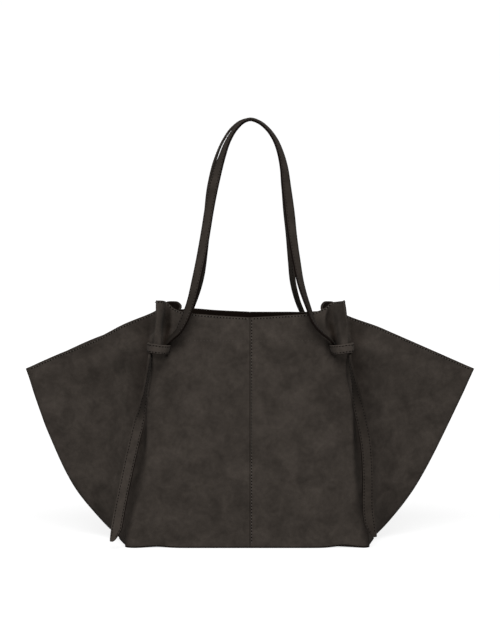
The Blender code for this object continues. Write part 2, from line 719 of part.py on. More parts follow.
def snap_half(name, face, with_knob, metal):
    """Magnetic snap disc on the inner side of a facing: the knob of one fits the dish of the other."""
    wall = surface_point(CENTRE_LINE, SLIT_HIGH_SHARE).y - LEATHER - GAP - FACING
    start = wall - 2 * GAP
    rim = SNAP_THICKNESS
    knob = rim + (SNAP_KNOB_RISE if with_knob else -SNAP_KNOB_RISE)
    bend = SNAP_KNOB_RADIUS if with_knob else SNAP_KNOB_RADIUS + GAP
    profile = [(0.0, 0.0), (SNAP_RADIUS, 0.0), (SNAP_RADIUS, rim * SNAP_WALL_SHARE),
               (SNAP_RADIUS * SNAP_FACE_SHARE, rim), (bend, rim),
               (bend * SNAP_KNOB_SHARE, knob), (0.0, knob)]
    data = bmesh.new()
    chain = [data.verts.new((r, 0.0, rise)) for r, rise in profile]
    edges = [data.edges.new(pair) for pair in zip(chain, chain[1:])]
    bmesh.ops.spin(data, geom=chain + edges, cent=(0.0, 0.0, 0.0), axis=(0.0, 0.0, 1.0),
                   angle=2 * math.pi, steps=SNAP_STEPS, use_merge=True)
    bmesh.ops.remove_doubles(data, verts=data.verts, dist=GAP * MERGE_SHARE)
    for vertex in data.verts:
        reach, rise, proud = vertex.co
        vertex.co = Vector((reach, face * (start - proud), SNAP_HEIGHT + rise))
    make_object(name, data, metal)


def build_body(leather, lining, board):
    for face_name, face in FACES.items():
        for side_name, side in SIDES.items():
            quarter_panel(f"{face_name}_panel_{side_name}", side, face, leather)
        facing_rows = (FACING_LOW,) + UPPER_ROW_SHARES
        near = LEATHER + GAP
        half_sheet(f"{face_name}_facing", face, facing_rows, (near, near + FACING), leather, slitted=True)
        lining_rows = LOWER_ROW_SHARES + (LINING_TOP,)
        half_sheet(f"{face_name}_lining", face, lining_rows, (near, near + LINING), lining)
    base_plate("base_panel", 0.0, 0.0, BASE_LEATHER, leather)
    clear_of_lining = BOARD_DRAW_SHARE * (LEATHER + LINING + 2 * GAP)
    board_top = PANEL_FOOT + BOARD
    base_plate("base_board", clear_of_lining, PANEL_FOOT, board_top, board)
    base_plate("base_lining", clear_of_lining, board_top + GAP, board_top + GAP + LINING, lining)


def build_straps(leather):
    for face_name, face in FACES.items():
        handle(f"{face_name}_handle", face, leather)
        for side_name, side in SIDES.items():
            knot(f"{face_name}_knot_{side_name}", side, face, leather)
            tail(f"{face_name}_tail_{side_name}", side_name, face, leather)


def main():
    clear_scene()
    leather = make_material("nubuck", (0.031, 0.027, 0.023), 0.85)
    strap = make_material("strap_leather", (0.028, 0.024, 0.021), 0.75)
    lining = make_material("lining_cloth", (0.012, 0.007, 0.006), 0.9)
    tape = make_material("zip_tape", (0.010, 0.008, 0.007), 0.9)
    board = make_material("board", (0.10, 0.08, 0.06), 0.9)
    metal = make_material("dark_metal", (0.18, 0.16, 0.14), 0.35, 1.0)
    build_body(leather, lining, board)
    build_straps(strap)
    zip_pocket(lining, tape, metal)
    snap_half("magnet_socket", FACES["front"], False, metal)
    snap_half("magnet_stud", FACES["rear"], True, metal)


main()
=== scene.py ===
"""Looks of the winged leather shoulder bag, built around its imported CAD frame.

Metres, +Z up, front towards -Y. The body is one pleated surface that is mirrored to four quarters,
then made unlike in each by soft folds. Straps are swept, and every stitch is a small solid.
A quarter is named by its face (-1 front, 1 rear) and its side (-1 left, 1 right).
"""
import math

import bmesh
import bpy
import numpy as np
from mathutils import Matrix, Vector


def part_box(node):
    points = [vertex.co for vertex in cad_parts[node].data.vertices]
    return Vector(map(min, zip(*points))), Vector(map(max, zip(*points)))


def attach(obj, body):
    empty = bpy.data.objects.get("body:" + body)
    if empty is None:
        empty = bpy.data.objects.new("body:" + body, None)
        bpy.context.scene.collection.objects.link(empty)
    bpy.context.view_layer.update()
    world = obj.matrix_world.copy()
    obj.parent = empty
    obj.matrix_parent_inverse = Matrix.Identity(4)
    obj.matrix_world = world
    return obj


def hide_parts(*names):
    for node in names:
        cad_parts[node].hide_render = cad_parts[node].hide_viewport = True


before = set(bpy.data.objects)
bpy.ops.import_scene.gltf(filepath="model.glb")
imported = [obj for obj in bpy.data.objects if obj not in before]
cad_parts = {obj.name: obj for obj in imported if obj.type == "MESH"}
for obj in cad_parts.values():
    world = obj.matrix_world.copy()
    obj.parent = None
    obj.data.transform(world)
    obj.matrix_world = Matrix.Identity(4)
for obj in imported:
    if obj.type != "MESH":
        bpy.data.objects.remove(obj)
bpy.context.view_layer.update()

# Sizes of the CAD part that the looks follow
LEATHER = 0.0014
FACING = 0.0012
LINING = 0.0008
BASE_LEATHER = 0.0016
BOARD = 0.0020
GAP = 0.0003
BASE_HALF_WIDTH = 0.151
BASE_HALF_DEPTH = 0.065
MOUTH_HALF_DEPTH = 0.059
RIM_HEIGHT = 0.2894
EAR_HEIGHT = 0.312
WING_REACH = 0.2876
WING_TIP_HEIGHT = 0.220
SEAM_FOOT_REACH = 0.1585
SEAM_SWELL = (0.72, -0.5)
SEAM_HALF_DEPTH = LEATHER + FACING + 2 * GAP
FACING_LOW_HEIGHT = 0.235
PANEL_FOOT = BASE_LEATHER + GAP
KNOT_X = 0.112
KNOT_HEIGHT = 0.253
NECK_WIDTH = 0.019
PLEAT_PROUD = 0.020
STRAP_WIDTH = 0.014
STRAP_THICKNESS = 0.003
SLIT_WIDTH = STRAP_THICKNESS + 0.0018
SLIT_HALF_HEIGHT = STRAP_WIDTH / 2 + 0.0006
KNOT_CLEARANCE = 0.0007
KNOT_BACK_CLEARANCE = 0.0012
HINGE_HEIGHT = KNOT_HEIGHT + 0.009
HINGE_DEPTH = 0.0735
HANDLE_TOP_HEIGHT = 0.5375
HANDLE_TOP_DEPTH = 0.012
HANDLE_FOOT_X = 0.0964
TAIL_DEPTH = 0.078
TAIL_LENGTH = 0.230
TAIL_X = 0.1239
TAIL_HINGE_HEIGHT = KNOT_HEIGHT - STRAP_WIDTH - GAP
TAIL_TAPER_LENGTH = 0.018

# The quarter's surface: thirteen lines from the centre seam to the side seam, at eight levels.
# The tables hold the reach and the standing out of lines 3 to 9, as shares.
SLIT_LOW, SLIT_HIGH = 0.82, 0.88
LEVELS = (0.0, 0.3, 0.6, 0.787, SLIT_LOW, SLIT_HIGH, 0.93, 1.0)
DEPTH_FALL = (0.0, 0.15, 0.6, 0.80, 0.85, 0.85, 0.92, 1.0)
PANEL_LINES = (0.0, 0.5, 0.87)
WING_LINES = (0.30, 0.64)
WING_BELLIES = (-0.012, -0.008)
BELLY_FADE = (0.0, 0.8, 1.0, 0.95, 0.9, 0.85, 0.75, 0.6)
WING_ROOT = 9
LAST = 12
PLAIN_LEVELS = {
    0: (BASE_HALF_WIDTH, (0.84, 0.87, 0.91, 0.955, 0.992, 1.0, 1.0),
        (0.0, 0.0, 0.0, -0.025, -0.2, -0.45, -0.775)),
    1: (BASE_HALF_WIDTH, (0.715, 0.748, 0.785, 0.825, 0.862, 0.905, 0.965),
        (0.0, 0.0, 0.0, 0.0, -0.05, -0.45, -0.82)),
    2: (KNOT_X, (0.86, 0.925, 1.0, 1.07, 1.138, 1.150, 1.205),
        (0.0, 0.02, 0.09, 0.18, 0.24, -0.25, -0.66)),
    3: (KNOT_X, (0.830, 0.885, 0.943, 1.008, 1.070, 1.094, 1.145),
        (0.10, 0.22, 0.42, 0.62, 0.68, 0.10, -0.25)),
}
REAR_EAR_PROUD = (0.10, 0.20, 0.56, 1.0, 0.95, 0.35, -0.05)
REAR_RIM_PROUD = (0.12, 0.30, 0.62, 1.0, 1.0, 0.50, 0.05)
EAR_XS = {(-1, -1): (0.790, 0.850, 0.932, 0.968, 1.034, 1.048, 1.022),
          (-1, 1): (0.770, 0.830, 0.900, 0.985, 1.073, 1.083, 1.060),
          (1, -1): (0.840, 0.850, 0.890, 0.945, 1.020, 1.030, 1.060),
          (1, 1): (0.840, 0.855, 0.895, 0.945, 1.020, 1.030, 1.060)}
EAR_PROUD = {(-1, -1): (0.12, 0.26, 0.22, 0.80, 1.05, 0.68, -0.15),
             (-1, 1): (0.10, 0.22, 0.08, 0.45, 1.06, 0.70, -0.15),
             (1, -1): REAR_EAR_PROUD, (1, 1): REAR_EAR_PROUD}
RIM_XS = {(-1, -1): (0.780, 0.862, 0.930, 0.966, 1.028, 1.043, 1.015),
          (-1, 1): (0.780, 0.860, 0.910, 0.975, 1.032, 1.046, 1.020),
          (1, -1): (0.812, 0.800, 0.838, 0.900, 0.978, 0.995, 1.030),
          (1, 1): (0.840, 0.826, 0.858, 0.915, 0.978, 0.995, 1.030)}
RIM_PROUD = {(-1, -1): (0.22, 0.46, 0.42, 0.86, 1.08, 0.76, -0.05),
             (-1, 1): (0.16, 0.32, 0.27, 0.57, 1.08, 0.76, -0.05),
             (1, -1): REAR_RIM_PROUD, (1, 1): REAR_RIM_PROUD}
EAR_LEVELS = {6: (EAR_XS, EAR_PROUD), 7: (RIM_XS, RIM_PROUD)}
# Rise of lines 0 to 9 from the rim's height to the ear's, as shares
RIM_RISE = {(-1, -1): (0.0, 0.12, 0.26, 0.38, 0.60, 0.90, 0.985, 1.0, 0.99, 0.60),
            (-1, 1): (0.0, 0.12, 0.26, 0.42, 0.65, 0.84, 0.92, 0.985, 1.0, 0.38),
            (1, -1): (0.0, 0.10, 0.20, 0.17, 0.30, 0.52, 0.56, 0.54, 0.40, 0.02),
            (1, 1): (0.0, 0.0, 0.02, 0.10, 0.26, 0.52, 0.56, 0.54, 0.40, 0.02)}
# The neck that the band holds, at the lower and upper end of the slits: its two edges and what is between
SLIT_LEVELS = (4, 5)
NECK_XS = (-0.5, -0.40, 0.02, 0.42, 0.5)
NECK_PROUD = (0.05, 0.075, 0.44, 0.94, 0.96, 0.2, -0.075)
WING_SLIT = (0.845, 0.897)
SLIT_SLANT = 0.0026
# How far the ridge stands out of its mean place at both ends, by side, and the most that the edge follows
RIDGE_SHIFT = {-1: (0.0006, -0.0014), 1: (0.0018, 0.0014)}
EDGE_SHIFT = 0.0006

# What makes the quarters unlike: how much wider the left wing is than the mean one, and the reaches
# over which this and the fuller seams come in
SEAM_UNLIKE = 0.0048
UNLIKE_SPAN = (0.125, 0.165)
FULLER_SPAN = (0.122, 0.164)
# How much fuller the side seams are than a plain curve, by side, as height and reach
SEAM_FULLER = {
    -1: ((0.0, 0.0032), (0.014, 0.0070), (0.035, 0.0084), (0.058, 0.0086), (0.085, 0.0070),
         (0.115, 0.0052), (0.155, 0.0038), (0.190, 0.0030), (0.210, 0.0010), (0.220, 0.0)),
    1: ((0.0, 0.0036), (0.014, 0.0060), (0.035, 0.0062), (0.058, 0.0048), (0.085, 0.0030),
        (0.115, 0.0022), (0.155, 0.0014), (0.190, 0.0004), (0.210, 0.0), (0.220, 0.0)),
}
# Waves of the left wing's rims by face: place, half width and rise
WING_WAVES = {-1: (0.198, 0.040, -0.0034), 1: (0.205, 0.036, 0.0022)}
# Where the foot lifts off the floor: place, half width, the height that it fades over, and the lifts
FOOT_LIFT_X, FOOT_LIFT_WIDTH, FOOT_LIFT_FADE = 0.118, 0.017, 0.03
FOOT_LIFT = {(-1, -1): 0.0018, (-1, 1): 0.0030, (1, -1): 0.0024, (1, 1): 0.0015}
# Depths of the broad and of the fine waves over the panels
BROAD_DEPTH = 0.0003
FINE_DEPTH = 0.00011
# Where the folds fade: height over the foot, lines to the side seam, levels to the rim, and reach
FOOT_FADE = (0.004, 0.045)
SEAM_FADE = (10.9, LAST)
RIM_FADE = (0.93, 1.0)
MIDDLE_FADE = 0.012
# Half width and half height of the calm stretch round each knot, and the shares of it where folds fade
KNOT_CALM = (0.021, 0.013)
KNOT_FADE = (0.75, 1.5)
# Creases as start, end, depth and half width, in x and z, for the front and for the rear
CREASES = {
    -1: (
        ((-0.1036, 0.303), (-0.1076, 0.242), 0.0032, 0.0038),
        ((0.0975, 0.312), (0.1070, 0.242), 0.0032, 0.0060),
        ((-0.099, 0.236), (-0.108, 0.150), 0.0005, 0.006),
        ((0.099, 0.236), (0.110, 0.160), 0.0005, 0.006),
        ((-0.137, 0.262), (-0.215, 0.150), 0.0006, 0.010),
        ((0.137, 0.262), (0.220, 0.140), 0.0006, 0.011),
        ((-0.150, 0.200), (-0.172, 0.050), 0.0012, 0.010),
        ((0.152, 0.190), (0.166, 0.040), 0.0011, 0.010),
        ((-0.060, 0.070), (-0.140, 0.020), 0.0006, 0.012),
        ((0.050, 0.060), (0.142, 0.022), 0.0006, 0.012),
    ),
    1: (
        ((-0.099, 0.238), (-0.116, 0.150), 0.0011, 0.006),
        ((0.100, 0.240), (0.121, 0.110), 0.0012, 0.007),
        ((-0.139, 0.260), (-0.205, 0.130), 0.0012, 0.010),
        ((0.136, 0.262), (0.228, 0.160), 0.0010, 0.009),
        ((-0.152, 0.185), (-0.168, 0.045), 0.0011, 0.010),
        ((0.150, 0.205), (0.170, 0.055), 0.0012, 0.010),
        ((-0.050, 0.075), (-0.142, 0.024), 0.0007, 0.012),
        ((0.060, 0.065), (0.140, 0.020), 0.0006, 0.012),
    ),
}

# Handle legs as shares of the foot's reach and of the rise, by quarter
LEG_SHARES = {
    (-1, -1): ((1.08, -0.02), (1.045, -0.003), (0.99, 0.016), (0.93, 0.037), (0.857, 0.083), (0.775, 0.155),
               (0.689, 0.278), (0.625, 0.386), (0.572, 0.495), (0.523, 0.603), (0.459, 0.713), (0.371, 0.822),
               (0.281, 0.905), (0.185, 0.958), (0.09, 0.989), (0.0, 1.0)),
    (-1, 1): ((1.085, -0.02), (1.05, -0.004), (0.933, 0.031), (0.82, 0.08), (0.755, 0.145), (0.70, 0.20),
              (0.657, 0.252), (0.60, 0.359), (0.552, 0.468), (0.518, 0.576), (0.478, 0.685),
              (0.436, 0.795), (0.396, 0.85), (0.332, 0.905), (0.227, 0.957), (0.11, 0.989), (0.0, 1.0)),
    (1, -1): ((1.03, -0.02), (0.96, 0.012), (0.876, 0.057), (0.77, 0.144), (0.672, 0.26), (0.623, 0.375),
              (0.587, 0.489), (0.564, 0.602), (0.529, 0.715), (0.456, 0.826), (0.352, 0.909), (0.24, 0.964),
              (0.125, 0.994), (0.0, 1.004)),
    (1, 1): ((1.03, -0.02), (0.95, 0.004), (0.81, 0.05), (0.73, 0.085), (0.688, 0.115), (0.629, 0.173),
             (0.589, 0.231), (0.555, 0.346), (0.527, 0.461), (0.495, 0.574), (0.473, 0.687), (0.443, 0.798),
             (0.402, 0.854), (0.336, 0.909), (0.23, 0.962), (0.12, 0.993), (0.0, 1.004)),
}
# Quarter turns of the strap at shares of the rise, by quarter
LEG_TURNS = {
    (-1, -1): ((0.0, 0.62), (0.06, 0.52), (0.17, 0.46), (0.28, 0.43), (0.40, 0.39), (0.52, 0.40),
               (0.66, 0.37), (0.72, 0.40), (0.77, 0.48), (0.82, 0.58), (0.88, 0.67), (0.94, 0.73),
               (1.0, 0.735)),
    (-1, 1): ((0.0, 0.86), (0.08, 0.79), (0.15, 0.72), (0.25, 0.62), (0.36, 0.53), (0.47, 0.44),
              (0.58, 0.38), (0.68, 0.42), (0.75, 0.49), (0.80, 0.56), (0.85, 0.64), (0.90, 0.69),
              (0.96, 0.73), (1.0, 0.735)),
    (1, -1): ((0.0, 0.80), (0.15, 0.67), (0.50, 0.65), (0.65, 0.70), (0.77, 0.85), (0.85, 0.93), (1.0, 0.92)),
    (1, 1): ((0.0, 0.72), (0.15, 0.71), (0.35, 0.69), (0.50, 0.67), (0.65, 0.59), (0.74, 0.54), (0.80, 0.57),
             (0.85, 0.65), (0.91, 0.75), (0.96, 0.86), (1.0, 0.88)),
}
FOOT_TUCK = 0.0058
# Tails by side: reach beside the hinge and quarter turns, at shares of the length
TAIL_REACHES = {
    -1: ((0.0, 0.0), (0.08, 0.0030), (0.3, 0.0122), (0.6, 0.0276), (0.87, 0.0402), (1.0, 0.0452)),
    1: ((0.0, 0.0), (0.07, 0.0030), (0.13, 0.0057), (0.24, 0.0100), (0.46, 0.0195), (0.65, 0.0225),
        (0.86, 0.0234), (1.0, 0.0285)),
}
TAIL_TURNS = {
    -1: ((0.0, 0.86), (0.10, 0.86), (0.17, 0.82), (0.23, 0.68), (0.29, 0.50), (0.335, 0.20), (0.39, 0.0),
         (0.5, -0.1), (1.0, -0.10)),
    1: ((0.0, 0.96), (0.06, 0.86), (0.14, 0.72), (0.20, 0.52), (0.27, 0.20), (0.38, 0.0), (0.8, -0.08),
        (1.0, 0.1)),
}
TAIL_SHORTER = {-1: 0.0015, 1: 0.0075}
FACES = {"front": -1, "rear": 1}
SIDES = {"left": -1, "right": 1}
QUARTERS = [(face, side) for face in (-1, 1) for side in (-1, 1)]


def mix(low, high, share):
    return low + (high - low) * share


def smooth(low, high, value):
    share = np.clip((np.asarray(value, float) - low) / (high - low), 0.0, 1.0)
    return share * share * (3.0 - 2.0 * share)


def unit(vectors):
    return vectors / np.maximum(np.linalg.norm(vectors, axis=-1, keepdims=True), 1e-12)


def smooth_curve(knots, points, places):
    """Points of the smooth curve through the given points, at an array of places."""
    knots, points = np.asarray(knots, float), np.asarray(points, float)
    steps = np.diff(knots)
    rises = np.diff(points, axis=0) / steps[:, None]
    both = (steps[:-1] + steps[1:])[:, None]
    inner = (rises[:-1] * steps[1:, None] + rises[1:] * steps[:-1, None]) / both
    bends = np.vstack([rises[:1], inner, rises[-1:]])
    index = np.clip(np.searchsorted(knots, places, side="right") - 1, 0, len(steps) - 1)
    h = steps[index][:, None]
    t = (np.asarray(places, float) - knots[index])[:, None] / h
    start = points[index] * (2 * t**3 - 3 * t**2 + 1) + bends[index] * h * (t**3 - 2 * t**2 + t)
    return start + points[index + 1] * (3 * t**2 - 2 * t**3) + bends[index + 1] * h * (t**3 - t**2)


def table_at(table, places):
    """Smooth value of a table of (place, value) rows."""
    rows = np.array(table)
    return smooth_curve(rows[:, 0], rows[:, 1:], places)[:, 0]


def chords(points):
    return np.concatenate([[0.0], np.cumsum(np.linalg.norm(np.diff(points, axis=0), axis=1))])


# The body's surface

def seam_reach(height):
    share = np.clip(height / WING_TIP_HEIGHT, 0.0, 1.0)
    swell = share + (SEAM_SWELL[0] + SEAM_SWELL[1] * share) * share * (1.0 - share)
    return mix(SEAM_FOOT_REACH, WING_REACH, swell)


def line_heights(quarter):
    """Heights of each line at the foot, at both ends of the slits and at the rim."""
    tops = [mix(RIM_HEIGHT, EAR_HEIGHT, share) for share in RIM_RISE[quarter]]
    rows = [(PANEL_FOOT, KNOT_HEIGHT - SLIT_HALF_HEIGHT, KNOT_HEIGHT + SLIT_HALF_HEIGHT, top) for top in tops]
    for share in WING_LINES + (1.0,):
        top = mix(tops[-1], WING_TIP_HEIGHT, share)
        rows.append((PANEL_FOOT, top * WING_SLIT[0], top * WING_SLIT[1], top))
    return np.array(rows)


HEIGHT_MARKS = (0.0, SLIT_LOW, SLIT_HIGH, 1.0)
HEIGHTS = {quarter: line_heights(quarter) for quarter in QUARTERS}


def neck_places(level, side):
    """Reach of lines 3 to 9 at the lower or the upper end of the slits."""
    upper = level - SLIT_LEVELS[0]
    slant, shift = SLIT_SLANT * (1 - 2 * upper), RIDGE_SHIFT[side][upper]
    inner, flank, roll, ridge, outer = (KNOT_X + share * NECK_WIDTH for share in NECK_XS)
    return [inner - SLIT_WIDTH + slant, inner + slant, flank, roll + shift / 2, ridge + shift,
            outer + min(shift, EDGE_SHIFT), outer + SLIT_WIDTH]


def level_points(level, quarter):
    """Reach and depth of the thirteen lines at one level of a quarter."""
    if level in SLIT_LEVELS:
        places, prouds = neck_places(level, quarter[1]), NECK_PROUD
    elif level in EAR_LEVELS:
        shares, prouds = (table[quarter] for table in EAR_LEVELS[level])
        places = [share * KNOT_X for share in shares]
    else:
        size, shares, prouds = PLAIN_LEVELS[level]
        places = [share * size for share in shares]
    depth = mix(BASE_HALF_DEPTH, MOUTH_HALF_DEPTH, DEPTH_FALL[level])
    points = [(share * places[0], depth) for share in PANEL_LINES]
    points += [(x, depth + share * PLEAT_PROUD) for x, share in zip(places, prouds)]
    root = np.array(points[-1])
    height = np.interp(LEVELS[level], HEIGHT_MARKS, HEIGHTS[quarter][LAST])
    seam = np.array([seam_reach(height), SEAM_HALF_DEPTH])
    for share, belly in zip(WING_LINES, WING_BELLIES):
        points.append(mix(root, seam, share) + np.array([0.0, belly * BELLY_FADE[level]]))
    return np.array(points + [seam])


# Lines over which the pleat's tight folds begin and end
PLEAT_START = (4.1, 4.6)
PLEAT_END = (8.5, 8.95)
LEVEL_POINTS = {quarter: np.array([level_points(level, quarter) for level in range(len(LEVELS))])
                for quarter in QUARTERS}


def base_surface(us, vs, quarter):
    """Plain quarter surface at lines us and levels vs: reach, depth and height."""
    flat = smooth_curve(LEVELS, LEVEL_POINTS[quarter].reshape(len(LEVELS), -1), vs)
    flat = flat.reshape(len(vs), LAST + 1, 2)
    heights = np.stack([np.interp(vs, HEIGHT_MARKS, row) for row in HEIGHTS[quarter]], 1)
    index = np.minimum(us.astype(int), LAST - 1)
    wing = us >= WING_ROOT
    grid = []
    for row in np.concatenate([flat, heights[:, :, None]], axis=2):
        knots = chords(row)
        places = knots[index] + (knots[index + 1] - knots[index]) * (us - index)
        points = smooth_curve(knots, row, places)
        points[wing, 2] = np.interp(places[wing], knots[WING_ROOT:], row[WING_ROOT:, 2])
        grid.append(points)
    return np.array(grid)


def waves(seed, count, longest, shortest):
    """Seeded soft waves over the panels: amplitude, two wave numbers and a phase each."""
    draw = np.random.RandomState(seed)
    lengths = draw.uniform(shortest, longest, count)
    turns = draw.uniform(0.0, math.pi, count)
    numbers = 2 * math.pi / lengths
    return np.stack([lengths / longest, numbers * np.cos(turns), numbers * np.sin(turns),
                     draw.uniform(0.0, 2 * math.pi, count)], 1)


BROAD = {face: waves(5 + face, 7, 0.16, 0.07) for face in (-1, 1)}
FINE = {face: waves(31 + face, 9, 0.045, 0.022) for face in (-1, 1)}


def wave_sum(table, x, z):
    return sum(a * np.sin(kx * x + kz * z + phase) for a, kx, kz, phase in table)


def crease(x, z, start, end, depth, width):
    """Soft valley along a line, which fades at both ends, with a low swell on each side."""
    run = np.array(end) - np.array(start)
    length = np.linalg.norm(run)
    along = ((x - start[0]) * run[0] + (z - start[1]) * run[1]) / length**2
    share = ((x - start[0]) * run[1] - (z - start[1]) * run[0]) / length / width
    fade = np.sin(np.pi * np.clip(along, 0.0, 1.0)) ** 0.8
    return -depth * fade * (1.0 - 0.5 * share**2) * np.exp(-share**2 / 2)


def folds(x, z, face, line, level):
    """Displacement of the leather, none at the base and the side seam, and only inwards at the slits."""
    total = BROAD_DEPTH * wave_sum(BROAD[face], x, z) + FINE_DEPTH * wave_sum(FINE[face], x, z)
    for row in CREASES[face]:
        total = total + crease(x, z, *row)
    foot = smooth(*FOOT_FADE, z)
    seam = 1.0 - smooth(*SEAM_FADE, line)
    far = np.hypot((np.abs(x) - KNOT_X) / KNOT_CALM[0], (z - KNOT_HEIGHT) / KNOT_CALM[1])
    knot = smooth(*KNOT_FADE, far)
    rim = 1.0 - 0.6 * smooth(*RIM_FADE, level)
    middle = mix(0.35, 1.0, smooth(0.0, MIDDLE_FADE, np.abs(x)))
    return np.where(total > 0.0, knot, 1.0) * total * foot * seam * rim * middle


def unlike(points, side, face, vs):
    """Gives each quarter its own side seam, foot and rim. The views x and z follow what is changed."""
    x, z = points[..., 0], points[..., 2]
    share = np.clip(z / WING_TIP_HEIGHT, 0.0, 1.0)
    wider = SEAM_UNLIKE * (1.0 - share**3) * smooth(*UNLIKE_SPAN, x) * smooth(0.0, 0.35, 1.0 - share)
    fuller = table_at(SEAM_FULLER[side], np.clip(z, 0.0, WING_TIP_HEIGHT).ravel()).reshape(z.shape)
    points[..., 0] = x - side * wider + fuller * smooth(*FULLER_SPAN, x)
    lift = FOOT_LIFT[(face, side)] * np.exp(-((x - FOOT_LIFT_X) / FOOT_LIFT_WIDTH) ** 2)
    points[..., 2] = z + lift * np.clip(1.0 - z / FOOT_LIFT_FADE, 0.0, 1.0)
    if side < 0:
        place, width, height = WING_WAVES[face]
        points[..., 2] += height * np.exp(-((x - place) / width) ** 2) * smooth(0.6, 1.0, vs)[:, None]
    return points


def surface(us, vs, side, face):
    """Folded quarter in the row frame, with its outward normals."""
    step = 0.02
    place = lambda u, v: base_surface(u, v, (face, side))
    plain = place(us, vs)
    du = place(np.minimum(us + step, LAST), vs) - place(np.maximum(us - step, 0.0), vs)
    dv = place(us, np.minimum(vs + step, 1.0)) - place(us, np.maximum(vs - step, 0.0))
    normals = unit(np.cross(dv, du))
    normals[:, (us <= 0.0) | (us >= LAST)] = (0.0, 1.0, 0.0)
    turn = np.array([side, face, 1.0])
    points, normals = unlike(plain, side, face, vs) * turn, normals * turn
    push = folds(points[..., 0], points[..., 2], face, us[None, :], vs[:, None])
    return points + normals * push[..., None], normals


def soft_normals(normals, us, reach=0.28):
    """Normals blended across the pleat, so that the layers inside don't loop in its tight folds."""
    weights = np.exp(-((us[:, None] - us[None, :]) / reach) ** 2) * np.gradient(us)[None, :]
    blended = np.einsum("ij,rjk->rik", weights / weights.sum(1, keepdims=True), normals)
    near = smooth(*PLEAT_START, us) * (1.0 - smooth(*PLEAT_END, us))
    return mix(normals, blended, near[:, None])


def layered(points, normals, inset):
    """The surface drawn in by inset, with its two level borders kept at their height."""
    moved = points - normals * inset
    moved[0, :, 2], moved[-1, :, 2] = points[0, :, 2], points[-1, :, 2]
    return moved


# Meshes

def placed(name, data):
    item = bpy.data.objects.new(name, data)
    bpy.context.scene.collection.objects.link(item)
    return item


def dress(item, node, body="bag"):
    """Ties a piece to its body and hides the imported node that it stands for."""
    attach(item, body)
    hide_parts(node)


def finish_mesh(name, verts, faces, materials, indices=None, sharp=40.0):
    """Mesh object from arrays, faces turned outwards, smooth but for its sharp borders."""
    mesh = bpy.data.meshes.new(name)
    mesh.from_pydata(np.asarray(verts, float).tolist(), [], [list(map(int, face)) for face in faces])
    for material in materials:
        mesh.materials.append(material)
    if indices is not None:
        mesh.polygons.foreach_set("material_index", np.asarray(indices, dtype=np.int32))
    data = bmesh.new()
    data.from_mesh(mesh)
    bmesh.ops.delete(data, geom=[v for v in data.verts if not v.link_faces], context="VERTS")
    bmesh.ops.recalc_face_normals(data, faces=data.faces)
    if data.calc_volume(signed=True) < 0.0:
        bmesh.ops.reverse_faces(data, faces=data.faces)
    data.to_mesh(mesh)
    data.free()
    mesh.polygons.foreach_set("use_smooth", np.ones(len(mesh.polygons), dtype=bool))
    if sharp:
        mesh.set_sharp_from_angle(angle=math.radians(sharp))
    return placed(name, mesh)


# Steps to the cell beyond each side of a cell, with the two corners of that side
CELL_SIDES = ((-1, 0, (0, 0), (0, 1)), (1, 0, (1, 1), (1, 0)),
              (0, -1, (1, 0), (0, 0)), (0, 1, (0, 1), (1, 1)))


def sheet_solid(name, outer, inner, solid, materials, edge_slot=0, inner_slot=0, bare_rows=0):
    """Closed sheet between two grids; cells that are not solid stay open."""
    rows, columns = outer.shape[:2]
    near = np.arange(rows * columns).reshape(rows, columns)
    far = near + rows * columns
    r, c = np.nonzero(solid)
    front = np.stack([near[r, c], near[r, c + 1], near[r + 1, c + 1], near[r + 1, c]], 1)
    back = np.stack([far[r, c], far[r + 1, c], far[r + 1, c + 1], far[r, c + 1]], 1)
    faces = [front, back]
    slots = [np.zeros(len(front)), np.where(r >= rows - 1 - bare_rows, edge_slot, inner_slot)]
    padded = np.pad(solid, 1)
    for dr, dc, a, b in CELL_SIDES:
        border = ~padded[r + 1 + dr, c + 1 + dc]
        start, end = (r[border] + a[0], c[border] + a[1]), (r[border] + b[0], c[border] + b[1])
        faces.append(np.stack([near[end], near[start], far[start], far[end]], 1))
        slots.append(np.full(len(start[0]), edge_slot))
    verts = np.concatenate([outer.reshape(-1, 3), inner.reshape(-1, 3)])
    return finish_mesh(name, verts, np.concatenate(faces), materials, np.concatenate(slots))


# Stitches of the straps: pitch, length and radius, and how far in and down their rows lie
STRAP_STITCH = (0.0039, 0.0021, 0.00040)
STRAP_STITCH_INSET = 0.0021
STRAP_STITCH_SINK = 0.0002
# Quarter profile of a strap: distance in from the edge, distance down from the face
PROFILE = ((0.0050, 0.0), (0.0032, 0.0), (0.0026, 0.00006), (0.0021, 0.00018), (0.0016, 0.00010),
           (0.0010, 0.00009), (0.0006, 0.00018), (0.0003, 0.00032), (0.0001, 0.00054), (0.0, 0.00088))
PAINT_REACH = 0.0006


class Strap:
    """Stations along a strap: centres, width direction, face direction and widths."""

    def __init__(self, centres, across, outward, widths):
        self.centres, self.across, self.outward, self.widths = centres, across, outward, widths

    def stitch_rows(self, keep, faces=(1, -1)):
        """Lines beside both edges on the given faces, with their outward directions."""
        rows = []
        for face in faces:
            out = self.outward * face
            for edge in (1, -1):
                points = self.centres + self.across * edge * (self.widths / 2 - STRAP_STITCH_INSET)[:, None]
                points = points + out * (STRAP_THICKNESS / 2 - STRAP_STITCH_SINK)
                rows.append((points[keep], out[keep]))
        return rows


def strap_profile(width):
    """Closed profile of a padded strap with rounded painted edges."""
    half, top = width / 2, STRAP_THICKNESS / 2
    quarter = [(max(half - inset, half * 0.1), top - drop) for inset, drop in PROFILE]
    upper = [(-w, t) for w, t in reversed(quarter)] + quarter
    return np.array(upper + [(w, -t) for w, t in reversed(upper)])


